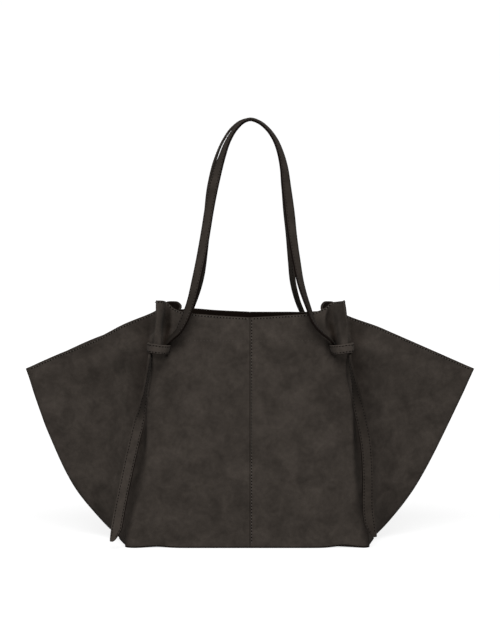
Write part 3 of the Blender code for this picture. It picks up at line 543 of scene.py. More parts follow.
def strap_mesh(name, strap, materials, dark_edge_side=1, closed=False):
    """Strap swept through its stations. Slot 1, the dark edge paint, goes on the ends and on the edge of the
    given side only: painted shade on the edge that lies in shade, while the lit edge keeps the strap's own
    look as painted light.
    """
    rings = []
    for centre, across, outward, width in zip(strap.centres, strap.across, strap.outward, strap.widths):
        profile = strap_profile(width)
        rings.append(centre + profile[:, :1] * across + profile[:, 1:] * outward)
    count, size = len(rings), len(rings[0])
    index = np.arange(count * size).reshape(count, size)
    plain = strap_profile(STRAP_WIDTH)[:, 0]
    faces, slots = [], []
    for k in range(size):
        m = (k + 1) % size
        painted = (plain[k] + plain[m]) / 2 * dark_edge_side > STRAP_WIDTH / 2 - PAINT_REACH
        for i in range(count if closed else count - 1):
            j = (i + 1) % count
            faces.append((index[i, k], index[i, m], index[j, m], index[j, k]))
            slots.append(int(painted))
    if not closed:
        faces += [tuple(index[0]), tuple(index[-1])]
        slots += [1, 1]
    return finish_mesh(name, np.concatenate(rings), faces, materials, slots, sharp=50.0)


def resample(points, extra, spacing):
    """Evenly spaced places along a polyline, another array carried along, and the directions."""
    run = chords(points)
    count = max(int(run[-1] / spacing), 1)
    places = (np.arange(count) + 0.5) * run[-1] / count
    pick = lambda values, shift: np.stack([np.interp(places + shift, run, values[:, k]) for k in range(3)], 1)
    step = spacing * 0.2
    return pick(points, 0.0), unit(pick(extra, 0.0)), unit(pick(points, step) - pick(points, -step))


# Rings of a stitch: place along it, lift and size; the hole is a flat bead at each end, near black, as
# painted shade in the needle hole
STITCH_RINGS = ((-0.50, -0.95, 0.40), (-0.34, -0.05, 0.88), (0.0, 0.22, 1.0), (0.34, -0.05, 0.88),
                (0.50, -0.95, 0.40))
HOLE_RINGS = ((-0.50, 0.0, 0.30), (-0.30, 0.0, 0.86), (0.0, 0.0, 1.0), (0.30, 0.0, 0.86), (0.50, 0.0, 0.30))
HOLE_SIZE = (0.0021, 0.00070)
HOLE_FLAT = 0.35
STITCH_SIDES = 6
# Slant of the stitches, and how much their angle and place vary
STITCH_SLANT = 0.06
SLANT_SPREAD = 0.05
PLACE_SPREAD = 0.00012
rng = np.random.RandomState(11)


def beads(name, centre, normal, run, sizes, rings, flat, material):
    """Many small closed beads in one mesh, each swept through its rings."""
    length, radius = sizes
    side = unit(np.cross(normal, run))
    block = []
    for place, lift, size in rings:
        middle = centre + run * place * length + normal * lift * radius
        for turn in np.arange(STITCH_SIDES) * 2 * math.pi / STITCH_SIDES:
            block.append(middle + (normal * math.cos(turn) * flat + side * math.sin(turn)) * size * radius)
    verts = np.array(block).transpose(1, 0, 2).reshape(-1, 3)
    last = len(block) - STITCH_SIDES
    cells = []
    for low in range(0, last, STITCH_SIDES):
        high = low + STITCH_SIDES
        for s in range(STITCH_SIDES):
            t = (s + 1) % STITCH_SIDES
            cells.append((low + s, low + t, high + t, high + s))
    starts = np.arange(len(centre))[:, None] * len(block)
    quads = (starts[:, :, None] + np.array(cells)[None]).reshape(-1, 4).tolist()
    cap = np.arange(STITCH_SIDES)
    caps = (starts + cap).tolist() + (starts + cap + last).tolist()
    return finish_mesh(name, verts, quads + caps, (material,), sharp=None)


def stitches(name, body, rows, pitch=0.0039, length=0.0023, radius=0.00042, look=None, holes=True):
    """Rows of sewn stitches that dip into needle holes, all of one body; flat near-black beads at the holes
    paint their shade.
    """
    parts = [resample(points, normals, pitch) for points, normals in rows]
    centre, normal, along = (np.concatenate([part[k] for part in parts]) for k in range(3))
    side = unit(np.cross(normal, along))
    angle = STITCH_SLANT + rng.uniform(-SLANT_SPREAD, SLANT_SPREAD, len(centre))[:, None]
    run = along * np.cos(angle) + side * np.sin(angle)
    centre = centre + along * rng.uniform(-PLACE_SPREAD, PLACE_SPREAD, len(centre))[:, None]
    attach(beads(name, centre, normal, run, (length, radius), STITCH_RINGS, 1.0, look or THREAD_LOOK), body)
    if holes:
        hole = centre + run * (pitch / 2)
        dots = beads(f"{name}_holes", hole, normal, run, HOLE_SIZE, HOLE_RINGS, HOLE_FLAT, HOLE_SHADE_LOOK)
        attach(dots, body)


# Materials

# Names of the shader's sockets
SOCKETS = {"metallic": "Metallic", "specular": "Specular IOR Level", "sheen": "Sheen Weight",
           "sheen_rough": "Sheen Roughness", "sheen_tint": "Sheen Tint"}


class Nodes:
    """Short hand for building the node tree of a material or of the world."""

    def __init__(self, owner, clear=False):
        owner.use_nodes = True
        self.owner, self.tree = owner, owner.node_tree
        if clear:
            self.tree.nodes.clear()
        self.coords = self.add("ShaderNodeTexCoord").outputs["Object"]

    def add(self, kind, **settings):
        node = self.tree.nodes.new(kind)
        for key, value in settings.items():
            if key in node.inputs:
                node.inputs[key].default_value = value
            else:
                setattr(node, key, value)
        return node

    def feed(self, value, socket):
        """Sets a socket to a number, or links it to another socket."""
        if isinstance(value, (int, float)):
            socket.default_value = value
        else:
            self.tree.links.new(value, socket)

    def noise(self, scale, detail, rough, distortion=0.0, vector=None):
        node = self.add("ShaderNodeTexNoise", Scale=scale, Detail=detail, Roughness=rough,
                        Distortion=distortion)
        self.feed(vector or self.coords, node.inputs["Vector"])
        return node.outputs["Fac"]

    def stretched(self, scales):
        node = self.add("ShaderNodeMapping", Scale=scales)
        self.feed(self.coords, node.inputs["Vector"])
        return node.outputs["Vector"]

    def axis(self, letter):
        node = self.add("ShaderNodeSeparateXYZ")
        self.feed(self.coords, node.inputs[0])
        return node.outputs[letter]

    def ramp(self, source, *stops):
        """Ramp through (place, tone) stops, where a tone is a number or a colour."""
        node = self.add("ShaderNodeValToRGB")
        ramp = node.color_ramp
        while len(ramp.elements) < len(stops):
            ramp.elements.new(0.5)
        for element, (place, value) in zip(ramp.elements, stops):
            element.position = place
            element.color = (*value, 1.0) if isinstance(value, tuple) else (value, value, value, 1.0)
        self.feed(source, node.inputs["Fac"])
        return node.outputs["Color"]

    def math(self, operation, *values):
        node = self.add("ShaderNodeMath", operation=operation)
        for value, socket in zip(values, node.inputs):
            self.feed(value, socket)
        return node.outputs["Value"]

    def times(self, tone, other, factor=1.0):
        """Product of two tones, as far as the factor says."""
        node = self.add("ShaderNodeMix", data_type="RGBA", blend_type="MULTIPLY")
        for value, index in ((factor, 0), (tone, 6), (other, 7)):
            self.feed(value, node.inputs[index])
        return node.outputs[2]

    def bump(self, height, distance, strength, below=None):
        node = self.add("ShaderNodeBump", Strength=strength, Distance=distance)
        self.feed(height, node.inputs["Height"])
        if below is not None:
            self.feed(below, node.inputs["Normal"])
        return node.outputs["Normal"]

    def finish(self, colour, rough, normal, **settings):
        """Material with its main sockets linked and the named ones set."""
        sockets = self.tree.nodes["Principled BSDF"].inputs
        for value, socket in ((colour, "Base Color"), (rough, "Roughness"), (normal, "Normal")):
            self.feed(value, sockets[socket])
        for key, value in settings.items():
            sockets[SOCKETS[key]].default_value = value
        return self.owner

    def show(self, hidden, seen, output):
        """Sends one shader to the camera and to clear reflections, and another to all other rays."""
        rays = self.add("ShaderNodeLightPath").outputs
        clear = self.math("MAXIMUM", rays["Is Camera Ray"], rays["Is Glossy Ray"])
        mixed = self.add("ShaderNodeMixShader")
        self.feed(self.math("MAXIMUM", clear, rays["Is Transmission Ray"]), mixed.inputs["Fac"])
        self.feed(hidden.outputs[0], mixed.inputs[1])
        self.feed(seen.outputs[0], mixed.inputs[2])
        self.feed(mixed.outputs[0], self.add(output).inputs["Surface"])


def scaled(colour, factor):
    return tuple(channel * factor for channel in colour)


# A ramp reads only from 0 to 1, so heights in metres are multiplied for it
TONE_HEIGHT_SCALE = 2.0
PLEAT_HEIGHT_SCALE = 3.5
# Tint of the painted shade in the folds
FOLD_SHADE_TINT = (1.0, 0.90, 0.81)
SHEEN_TINT = (1.0, 0.93, 0.86, 1.0)
# Tone of the painted shade in the ear's valley
VALLEY_SHADE = (0.36, 0.32, 0.29)


def nubuck(name, colour, cloud=0.24, grain=0.15, fold_shade=0.0, reach=0.05, own=True, pleated=False, heights=()):
    """Brushed leather: soft clouds and a fine nap. Where asked, an occlusion node paints shade into the
    colour deep in the folds and near other parts, and the pleats and the height add painted light and shade.
    """
    n = Nodes(bpy.data.materials.new(name))
    small = n.noise(170.0, 3.0, 0.6)
    tone = n.ramp(n.noise(42.0, 3.0, 0.55, 0.4), (0.30, scaled(colour, 1.0 - cloud)), (0.50, colour),
                  (0.72, scaled(colour, 1.0 + cloud)))
    tone = n.times(tone, n.ramp(small, (0.30, 1.0 - grain * 0.8), (0.70, 1.0 + grain * 0.8)))
    tone = n.times(tone, n.ramp(n.noise(1500.0, 2.0, 0.7), (0.25, 1.0 - grain), (0.75, 1.0 + grain)))
    # Painted shade: occlusion darkens the colour, with a reddish tint, deep in folds and near other parts
    if fold_shade:
        depth = n.add("ShaderNodeAmbientOcclusion", samples=8, only_local=own, Distance=reach).outputs["AO"]
        tone = n.times(tone, n.ramp(depth, (0.25, scaled(FOLD_SHADE_TINT, 1.0 - fold_shade)), (0.78, 1.0)))
    # Painted shade and highlight along the pleats
    if pleated:
        tone = pleat_light_and_shade(n, tone)
    # Painted light and shade by height
    if heights:
        height = n.math("MULTIPLY", n.axis("Z"), TONE_HEIGHT_SCALE)
        stops = [(TONE_HEIGHT_SCALE * place, value) for place, value in heights]
        tone = n.times(tone, n.ramp(height, *stops))
    rough = n.math("MULTIPLY_ADD", small, 0.12, 0.80)
    normal = n.bump(small, 0.0005, 0.20, n.bump(n.noise(900.0, 4.0, 0.65), 0.00016, 0.55))
    return n.finish(tone, rough, normal, sheen=0.03, sheen_rough=0.45, sheen_tint=SHEEN_TINT, specular=0.0)


def pleat_light_and_shade(n, tone):
    """Painted shade on the wing's side of each pleat, most beside the knot, a painted highlight along the
    ridge, and painted shade in the ear's valley.
    """
    high = n.math("MULTIPLY", n.axis("Z"), PLEAT_HEIGHT_SCALE)
    reach = n.math("ABSOLUTE", n.axis("X"))
    root = n.ramp(high, (0.665, 0.1285), (0.875, 0.119), (0.915, 0.1240))
    share = n.math("MULTIPLY_ADD", n.math("SUBTRACT", reach, root), 25.0, 0.14)
    # Stops above 1 paint a highlight along the ridge; those below paint shade on the wing's side
    dark = n.ramp(share, (0.0, 1.0), (0.08, 1.14), (0.13, 1.14), (0.22, (0.62, 0.59, 0.57)),
                  (0.46, (0.68, 0.66, 0.65)), (0.88, 1.0))
    height = n.ramp(high, (0.30, 0.0), (0.66, 0.60), (0.80, 1.0), (0.90, 1.0), (0.96, 0.55))
    tone = n.times(tone, dark, height)
    # Painted shade in the ear's valley
    valley = n.ramp(high, (0.88, 0.1070), (1.06, 0.1000))
    share = n.math("MULTIPLY_ADD", n.math("SUBTRACT", reach, valley), 80.0, 0.5)
    deep = n.ramp(share, (0.04, 1.0), (0.40, VALLEY_SHADE), (0.60, VALLEY_SHADE), (0.96, 1.0))
    ear = n.ramp(high, (0.885, 0.0), (0.895, 1.0), (0.98, 0.85), (1.08, 0.25))
    return n.times(tone, deep, ear)


def speckled(name, colour, noise, tones, roughs, bump, stretch=(1.0, 1.0, 1.0), **settings):
    """Material whose tone, roughness and relief all follow one noise."""
    n = Nodes(bpy.data.materials.new(name))
    patch = n.noise(*noise, vector=n.stretched(stretch))
    tone = n.ramp(patch, (0.3, scaled(colour, tones[0])), (0.7, scaled(colour, tones[1])))
    rough = n.ramp(patch, (0.3, roughs[0]), (0.7, roughs[1]))
    return n.finish(tone, rough, n.bump(patch, *bump), **settings)


def painted_edge(name, colour):
    """Edge paint of the straps, slightly glossy and uneven."""
    return speckled(name, colour, (260.0, 3.0, 0.6), (0.75, 1.3), (0.62, 0.80), (0.0002, 0.4), specular=0.02)


def thread(name, colour):
    """Twisted sewing thread."""
    return speckled(name, colour, (2600.0, 2.0, 0.6), (0.7, 1.25), (0.55, 0.75), (0.0001, 0.5),
                    stretch=(1.0, 1.0, 2.5), specular=0.05)


def board_material(name, colour):
    """Pressed fibre board of the base stiffener."""
    return speckled(name, colour, (420.0, 4.0, 0.7), (0.7, 1.3), (0.85, 0.97), (0.0002, 0.5),
                    stretch=(0.25, 1.0, 1.0), specular=0.15)


def raw_edge(name, colour):
    """Cut edge of the leather, with its fibres and a little wear."""
    n = Nodes(bpy.data.materials.new(name))
    fibre = n.noise(1100.0, 4.0, 0.7)
    tone = n.ramp(fibre, (0.30, scaled(colour, 0.62)), (0.55, colour), (0.80, scaled(colour, 1.35)))
    tone = n.times(tone, n.ramp(n.noise(60.0, 2.0, 0.5), (0.35, 0.72), (0.65, 1.12)))
    return n.finish(tone, n.ramp(fibre, (0.3, 0.80), (0.7, 0.95)), n.bump(fibre, 0.00015, 0.6), specular=0.0)


def woven(name, colour, pitch, contrast=0.45):
    """Twill cloth: two crossed sets of yarns and a little slub."""
    n = Nodes(bpy.data.materials.new(name))
    yarns = []
    for axes in ((1.0, 1.0, 1.0), (1.0, 1.0, -1.0)):
        wave = n.add("ShaderNodeTexWave", wave_type="BANDS", bands_direction="DIAGONAL",
                     Scale=1.0 / (pitch * 3.3), Distortion=0.6)
        wave.inputs["Detail Scale"].default_value = 4.0
        n.feed(n.stretched(axes), wave.inputs["Vector"])
        yarns.append(wave.outputs["Fac"])
    weave = n.math("MULTIPLY", *yarns)
    slub = n.noise(180.0, 3.0, 0.6)
    tone = n.ramp(weave, (0.05, scaled(colour, 1.0 - contrast)), (0.7, scaled(colour, 1.0 + contrast)))
    tone = n.times(tone, n.ramp(slub, (0.3, 0.85), (0.7, 1.12)))
    return n.finish(tone, n.ramp(slub, (0.3, 0.82), (0.7, 0.95)), n.bump(weave, 0.0002, 0.7), specular=0.0)


def metal(name, colour):
    """Darkened nickel with fine brushing and a few marks."""
    n = Nodes(bpy.data.materials.new(name))
    brush = n.noise(900.0, 3.0, 0.6, vector=n.stretched((0.08, 1.0, 1.0)))
    tone = n.ramp(n.noise(140.0, 4.0, 0.6), (0.35, scaled(colour, 0.8)), (0.7, scaled(colour, 1.15)))
    return n.finish(tone, n.ramp(brush, (0.3, 0.26), (0.7, 0.42)), n.bump(brush, 0.00003, 0.3), metallic=1.0)


# Painted light and shade by height above the floor: the straps darker at their feet by the knots and a little
# lighter above them, the tails darker at their tops under the bands
STRAP_LIGHT_AND_SHADE = ((0.272, 0.58), (0.320, 0.88), (0.346, 1.12), (0.385, 1.08), (0.430, 1.0))
TAIL_TOP_SHADE = ((0.125, 1.0), (0.190, 0.58))
# Lit and shaded copies of the tails' leather, as painted light and shade: the left lighter, the right darker
TAIL_LIT_AND_SHADED_COLOURS = {-1: (0.0440, 0.0366, 0.0312), 1: (0.0310, 0.0256, 0.0216)}
STRAP_GRAIN = {"cloud": 0.16, "grain": 0.16}
# The panels carry painted shade deep in their folds, and the painted light and shade of the pleats
LEATHER_LOOK = nubuck("nubuck_look", (0.0385, 0.0322, 0.0275), fold_shade=0.70, pleated=True)
# The base leather is near black: painted shade, so that its edge draws the dark line of shade along the foot
BASE_LOOK = nubuck("base_look", (0.0125, 0.0096, 0.0082), cloud=0.16)
# The flesh side and the facing are near black: painted shade for the inside of the bag, darker than its
# leather
FLESH_SHADED_LOOK = nubuck("flesh_side_shaded_look", (0.0072, 0.0048, 0.0038), cloud=0.1)
# The straps carry painted shade where they lie near other parts, and painted light and shade by height
STRAP_LOOK = nubuck("strap_look", (0.0300, 0.0248, 0.0210), fold_shade=0.50, reach=0.022, own=False,
                    heights=STRAP_LIGHT_AND_SHADE, **STRAP_GRAIN)
# The bands are a lighter copy of the strap leather: painted light, where they catch the light from above
BAND_LIT_LOOK = nubuck("band_lit_look", (0.0440, 0.0367, 0.0313), **STRAP_GRAIN)
# The tails carry painted shade near the pleats and under the bands, and are darker at their tops
TAIL_LOOKS = {side: nubuck(f"tail_look_{side}", colour, fold_shade=0.90, reach=0.020, own=False,
                           heights=TAIL_TOP_SHADE, **STRAP_GRAIN)
              for side, colour in TAIL_LIT_AND_SHADED_COLOURS.items()}
# Dark edge paint, put only on the edges that lie in shade (the inner edges of handles and tails, the lower
# edges of the bands): painted shade; the lit edges keep the leather's look as painted light
SHADED_EDGE_LOOK = painted_edge("shaded_edge_look", (0.0052, 0.0034, 0.0028))
TAIL_SHADED_EDGE_LOOK = painted_edge("tail_shaded_edge_look", (0.0070, 0.0048, 0.0040))
EDGE_LOOK = raw_edge("raw_edge_look", (0.045, 0.038, 0.033))
# Near-black beads at the needle holes: painted shade in the holes
HOLE_SHADE_LOOK = raw_edge("needle_hole_shade_look", (0.0030, 0.0024, 0.0021))
LINING_LOOK = woven("lining_look", (0.0085, 0.0065, 0.0055), 0.0007)
TAPE_LOOK = woven("tape_look", (0.010, 0.008, 0.007), 0.0009)
THREAD_LOOK = thread("thread_look", (0.092, 0.083, 0.074))
STRAP_THREAD_LOOK = thread("strap_thread_look", (0.034, 0.029, 0.026))
FAINT_LOOK = thread("faint_thread_look", (0.056, 0.049, 0.043))
METAL_LOOK = metal("dark_metal_look", (0.20, 0.18, 0.165))
BOARD_LOOK = board_material("board_look", (0.10, 0.08, 0.06))


# The body

# Columns between the surface's lines, and places beside both seams where more are needed
COLUMN_COUNTS = np.array((24, 18, 8, 5, 4, 6, 6, 4, 5, 22, 25, 26))
CENTRE_COLUMNS = (0.008, 0.016, 0.026, 0.036)
SEAM_COLUMNS = (0.052, 0.038, 0.026, 0.016, 0.008, 0.003)
# Rows below the slits for each unit of level, in the slits and above them, and the rim's own rows
LOW_ROWS, SLIT_ROWS, EAR_ROWS = 134, 8, 14
RIM_ROWS = (0.99, 0.9935, 0.9965, 0.9985, 0.9996, 1.0)


def spaced(start, end, count):
    return list(np.linspace(start, end, count, endpoint=False))


def column_places(fine):
    """Columns from the centre seam to the side seam, close together beside both seams."""
    places = []
    for index, count in enumerate(np.maximum((COLUMN_COUNTS * fine).astype(int), 3)):
        places += spaced(index, index + 1, count)
    places += CENTRE_COLUMNS
    places += [LAST - share for share in SEAM_COLUMNS]
    return np.array(sorted(set(np.round(places + [LAST], 5))))


def row_places(low=0.0):
    """Rows from the foot or the facing's hem to the rim, close together at the rim."""
    places = spaced(low, SLIT_LOW, max(int((SLIT_LOW - low) * LOW_ROWS), 4))
    places += spaced(SLIT_LOW, SLIT_HIGH, SLIT_ROWS)
    places += spaced(SLIT_HIGH, RIM_ROWS[0], EAR_ROWS)
    return np.array(places + list(RIM_ROWS))


# Open rows of the slits at lines 3 to 4 and 8 to 9, which the band covers
OPEN_ROWS = {3: (0.820, 0.858), 8: (0.828, 0.864)}
COLUMNS = column_places(1.0)
ROWS = row_places()
# Ends of the sheets inside, and the rows of the linings
FACING_TOP_LEVEL = 0.997
INNER_END_LINE = LAST - 0.04
LINING_ROWS = 56
# Lines between which the rim is sewn, and levels between which the centre seam is
RIM_SEWN = (0.03, LAST - 0.09)
SEAM_SEWN = (0.012, 0.982)
# Places of the stitches on the leather, and how far they sink into it
RIM_STITCH_DROP = 0.0020
WING_STITCH_DROP = 0.0029
RIM_STITCH_SINK = 0.00012
SEAM_STITCH_X = 0.0021
SEAM_STITCH_SINK = 0.00016
LINE_ONE_REACH = 0.0477
POCKET_STITCH_Z = 0.2602
POCKET_STITCH_REACH = 0.083
POCKET_STITCH_RADIUS = 0.00034
POCKET_DENT = 0.0002
DENT_WIDTH = 0.0012


def slit_free(us, vs):
    """Cells of the sheet that stay closed: all but the two slits of each quarter."""
    line = np.abs(0.5 * (us[:-1] + us[1:]))
    level = 0.5 * (vs[:-1] + vs[1:])
    closed = np.ones((len(level), len(line)), bool)
    for start, (low, high) in OPEN_ROWS.items():
        across = (line > start) & (line < start + 1)
        closed &= ~(((level > low) & (level < high))[:, None] & across[None, :])
    return closed


def round_rim(points, normals, amount=0.0005, height=0.0007):
    """Draws the outer skin in close under the rim."""
    drop = points[-1:, :, 2] - points[..., 2]
    share = np.clip(1.0 - drop / height, 0.0, 1.0)
    return points - normals * (amount * (1.0 - np.sqrt(1.0 - share**2 * 0.98)))[..., None]


def seam_groove(points, normals, amount=0.0009, width=0.0017):
    """Turns the leather in where two panels are sewn together at the centre."""
    share = np.clip(1.0 - np.abs(points[..., 0]) / width, 0.0, 1.0)
    return points - normals * (amount * share**2)[..., None]


def stitch_dent(points, normals, distance, place, amount=0.00022):
    """Shallow channel that a row of stitches pulls into the leather."""
    return points - normals * (amount * np.exp(-((distance - place) / DENT_WIDTH) ** 2))[..., None]


def roll_side_seam(outer, inner, face, width=0.0032, least=0.0006, least_inside=0.00015):
    """Rolls the panel's edge in to the side seam, so that front and rear leather meet there."""
    run = np.abs(outer[:, -1:, 0]) - np.abs(outer[..., 0])
    share = np.clip(1.0 - run / width, 0.0, 1.0)
    depth = np.maximum(SEAM_HALF_DEPTH * np.sqrt(np.maximum(1.0 - share**2, 0.0)), least)
    near = share > 0.0
    offset = outer[..., 1] * face - SEAM_HALF_DEPTH
    outer[..., 1] = np.where(near, face * (depth + offset * (1.0 - share)), outer[..., 1])
    inner_depth = np.clip(outer[..., 1] * face - LEATHER, least_inside, None)
    inner[..., 1] = np.where(near, face * inner_depth, inner[..., 1])
    inner[..., 0] = np.where(near, outer[..., 0], inner[..., 0])


def rim_drop(us):
    """Distance of the rim's stitches under the rim at each line."""
    return mix(RIM_STITCH_DROP, WING_STITCH_DROP, smooth(8.5, 9.5, us))


def body_panel(face_name, side_name):
    """Leather of one quarter, with sewn channels, turned seams, slits and a cut rim."""
    face, side = FACES[face_name], SIDES[side_name]
    points, normals = surface(COLUMNS, ROWS, side, face)
    outer = stitch_dent(points, normals, points[-1:, :, 2] - points[..., 2], rim_drop(COLUMNS))
    if side > 0:
        outer = stitch_dent(outer, normals, points[..., 0], SEAM_STITCH_X)
    if face < 0:
        in_pocket = 1.0 - smooth(0.080, 0.086, np.abs(points[..., 0]))
        outer = stitch_dent(outer, normals, points[..., 2], POCKET_STITCH_Z, POCKET_DENT * in_pocket)
    outer = round_rim(seam_groove(outer, normals), normals)
    inner = layered(points, soft_normals(normals, COLUMNS), LEATHER)
    roll_side_seam(outer, inner, face)
    for grid in (outer, inner):
        grid[..., 0] = side * np.maximum(np.abs(grid[..., 0]), GAP / 2)
    looks = (LEATHER_LOOK, EDGE_LOOK, FLESH_SHADED_LOOK)
    name = f"{face_name}_leather_{side_name}"
    item = sheet_solid(name, outer, inner, slit_free(COLUMNS, ROWS), looks, 1, 2, 3)
    dress(item, f"{face_name}_panel_{side_name}")
    return outer, normals


def crossing(points, normals, column, height):
    """Point and outward direction of one column of a surface at a height."""
    heights = points[:, column, 2]
    at = lambda grid: [np.interp(height, heights, grid[:, column, k]) for k in range(3)]
    return at(points), at(normals)


def rim_row(side, face):
    """Line of the stitches under the rim, on the outer surface."""
    us = COLUMNS[(COLUMNS > RIM_SEWN[0]) & (COLUMNS < RIM_SEWN[1])]
    points, normals = surface(us, np.linspace(0.93, 1.0, 40), side, face)
    heights = points[-1, :, 2] - rim_drop(us)
    found = [crossing(points, normals, column, height) for column, height in enumerate(heights)]
    rows, outs = (np.array(part) for part in zip(*found))
    return rows - unit(outs) * RIM_STITCH_SINK, unit(outs)


def seam_row(side, face):
    """Line of the stitches beside the centre seam."""
    us = np.array([0.0, SEAM_STITCH_X / LINE_ONE_REACH, 0.2])
    points, normals = surface(us, np.linspace(*SEAM_SEWN, 200), side, face)
    points[:, 1, 0] = SEAM_STITCH_X
    return points[:, 1] - normals[:, 1] * SEAM_STITCH_SINK, normals[:, 1]


def pocket_row(points, normals):
    """Level line of the pocket's stitches across a front panel."""
    found = []
    for column in range(points.shape[1]):
        point, out = crossing(points, normals, column, POCKET_STITCH_Z)
        if abs(point[0]) > POCKET_STITCH_REACH:
            break
        found.append((point, out))
    rows, outs = (np.array(part) for part in zip(*found))
    return rows, unit(outs)


def build_body():
    pocket = []
    sewn = {name: [] for name in FACES}
    for face_name, face in FACES.items():
        for side_name, side in SIDES.items():
            panel = body_panel(face_name, side_name)
            sewn[face_name].append(rim_row(side, face))
            if side > 0:
                sewn[face_name].append(seam_row(side, face))
            if face < 0:
                pocket.append(pocket_row(*panel))
    for face_name, rows in sewn.items():
        stitches(f"{face_name}_body_stitches", "bag", rows)
    stitches("pocket_stitches", "bag", pocket, radius=POCKET_STITCH_RADIUS, look=FAINT_LOOK, holes=False)


def whole_face(us, vs, face):
    """Surface from one side seam to the other as one grid, with soft normals."""
    halves = []
    for side in (-1, 1):
        points, normals = surface(us, vs, side, face)
        halves.append((points, soft_normals(normals, us)))
    return [np.concatenate([left[:, :0:-1], right], 1) for left, right in zip(*halves)]


def inner_sheet(name, node, face, vs, thickness, looks, slitted, fine):
    """Sheet that follows the leather of one face inside it."""
    us = column_places(fine)
    us = us[us < INNER_END_LINE]
    points, normals = whole_face(us, vs, face)
    lines = np.concatenate([-us[:0:-1], us])
    solid = slit_free(lines, vs) if slitted else np.ones((len(vs) - 1, len(lines) - 1), bool)
    near = LEATHER + GAP
    outer, inner = (layered(points, normals, inset) for inset in (near, near + thickness))
    dress(sheet_solid(name, outer, inner, solid, looks, 1, 0), node)


def level_of_height(height):
    low = HEIGHTS[(-1, -1)][0][1]
    return SLIT_LOW * (height - PANEL_FOOT) / (low - PANEL_FOOT)


def build_insides():
    """Facing under the rim and cloth lining below it, front and rear."""
    facing_rows = row_places(level_of_height(FACING_LOW_HEIGHT))
    facing_rows = facing_rows[facing_rows < FACING_TOP_LEVEL]
    lining_rows = np.linspace(0.0, level_of_height(FACING_LOW_HEIGHT - GAP), LINING_ROWS)
    for name, face in FACES.items():
        inner_sheet(f"{name}_rim_facing", f"{name}_facing", face, facing_rows, FACING,
                    (FLESH_SHADED_LOOK, EDGE_LOOK), True, 1.0)
        inner_sheet(f"{name}_cloth_lining", f"{name}_lining", face, lining_rows, LINING,
                    (LINING_LOOK, LINING_LOOK), False, 0.5)


def foot_ring(inset):
    """Outline of the base, drawn in from the foot of the walls, with the height of each point."""
    us = column_places(0.5)
    parts = []
    for side, face in ((1, -1), (1, 1), (-1, 1), (-1, -1)):
        points = surface(us, np.array([0.0, 0.01]), side, face)[0][0]
        points[-1, 1] = 0.0
        parts.append((points[::-1] if side == face else points)[:-1])
    ring = np.concatenate(parts)
    ring[:, 0] *= 1.0 - inset / SEAM_FOOT_REACH
    ring[:, 1] *= 1.0 - inset / BASE_HALF_DEPTH
    return ring[:, :2], ring[:, 2] - PANEL_FOOT


def plate(name, node, inset, low, thickness, look, swell=0.0, lift=0.0, bevel=0.0004):
    """Base plate in rings that can swell upwards, its border lifted with the walls."""
    ring, raised = foot_ring(inset)
    high = low + thickness
    shares = (1.0 - bevel / BASE_HALF_DEPTH, 0.96, 0.85, 0.6, 0.3)
    levels = [(low, 0.3), (low, 0.85), (low, shares[0]), (low + bevel, 1.0), (high - bevel, 1.0)]
    levels += [(high + swell * (1.0 - s) * (1 + s), s) for s in shares]
    grids = [np.column_stack([ring * s, z + lift * raised * s**12]) for z, s in levels]
    verts = np.concatenate(grids + [np.array([[0, 0, high + swell], [0, 0, low]])])
    top, bottom = len(verts) - 2, len(verts) - 1
    first = np.arange(len(ring))
    second = np.roll(first, -1)
    faces = []
    for start in range(0, top - len(ring), len(ring)):
        cells = (first, second, second + len(ring), first + len(ring))
        faces += np.stack([start + corner for corner in cells], 1).tolist()
    upper = top - len(ring)
    for a, b in zip(first, second):
        faces += [(upper + a, upper + b, top), (a, b, bottom)]
    dress(finish_mesh(name, verts, faces, (look,)), node)


def build_base():
    draw_in = 1.5 * (LEATHER + LINING + 2 * GAP)
    cloth_low = PANEL_FOOT + BOARD + GAP
    plate("base_leather", "base_panel", 0.0, 0.0, BASE_LEATHER, BASE_LOOK, lift=1.0)
    plate("base_stiffener", "base_board", draw_in, PANEL_FOOT, BOARD, BOARD_LOOK)
    plate("base_cloth", "base_lining", draw_in, cloth_low, LINING, LINING_LOOK, swell=0.0008)


# The straps

# Line steps round a neck, the level of the knots, and the lines of the roll that the band goes over
NECK_STEP = 0.02
KNOT_LEVEL = 0.85
ROLL_LINES = (5.0, 5.5, 6.0, 6.5, 7.0)
# Depths between which a band comes to the front, and reaches between which its lean and its tilt end
BAND_FRONT = (0.056, 0.070)
BAND_LEAN_END = (0.101, 0.112)
BAND_TILT_END = (0.100, 0.126)
BAND_TILT = 0.0030
# Shares of the full width in front and behind, and how much a band stands out in front
BAND_SHARE = 0.86
BAND_BACK_SHARE = 0.95
BAND_PROUD = 0.0004
# Share of the way to the front from which a band is sewn
BAND_SEWN = 0.2
# How much a band gathers at the slits: share, depth and half width
BAND_GATHER = (0.16, 0.0605, 0.004)
# Straps narrow at the handle's foot, and their ends are round there and at the tail's top
HANDLE_FOOT_SHARE = 0.80
HANDLE_FOOT_ROUND = 0.80
TAIL_TOP_ROUND = 0.90
TAIL_TOP = STRAP_WIDTH / 2 * 0.92 + 0.0010
# The tail's tip: length with closer stations, share of the width, and how far it leans to one edge
TAIL_TIP_LENGTH = 0.02
TAIL_TIP_SHARE = 0.24
TAIL_TIP_LEAN = 0.38


def neck_place(quarter, line, inset):
    """Point at one line of the neck, drawn in from the outer surface."""
    us = np.array([line - NECK_STEP, line, line + NECK_STEP])
    before, here, after = base_surface(us, np.array([KNOT_LEVEL]), quarter)[0, :, :2]
    along = after - before
    return here - np.array([-along[1], along[0]]) / np.linalg.norm(along) * inset


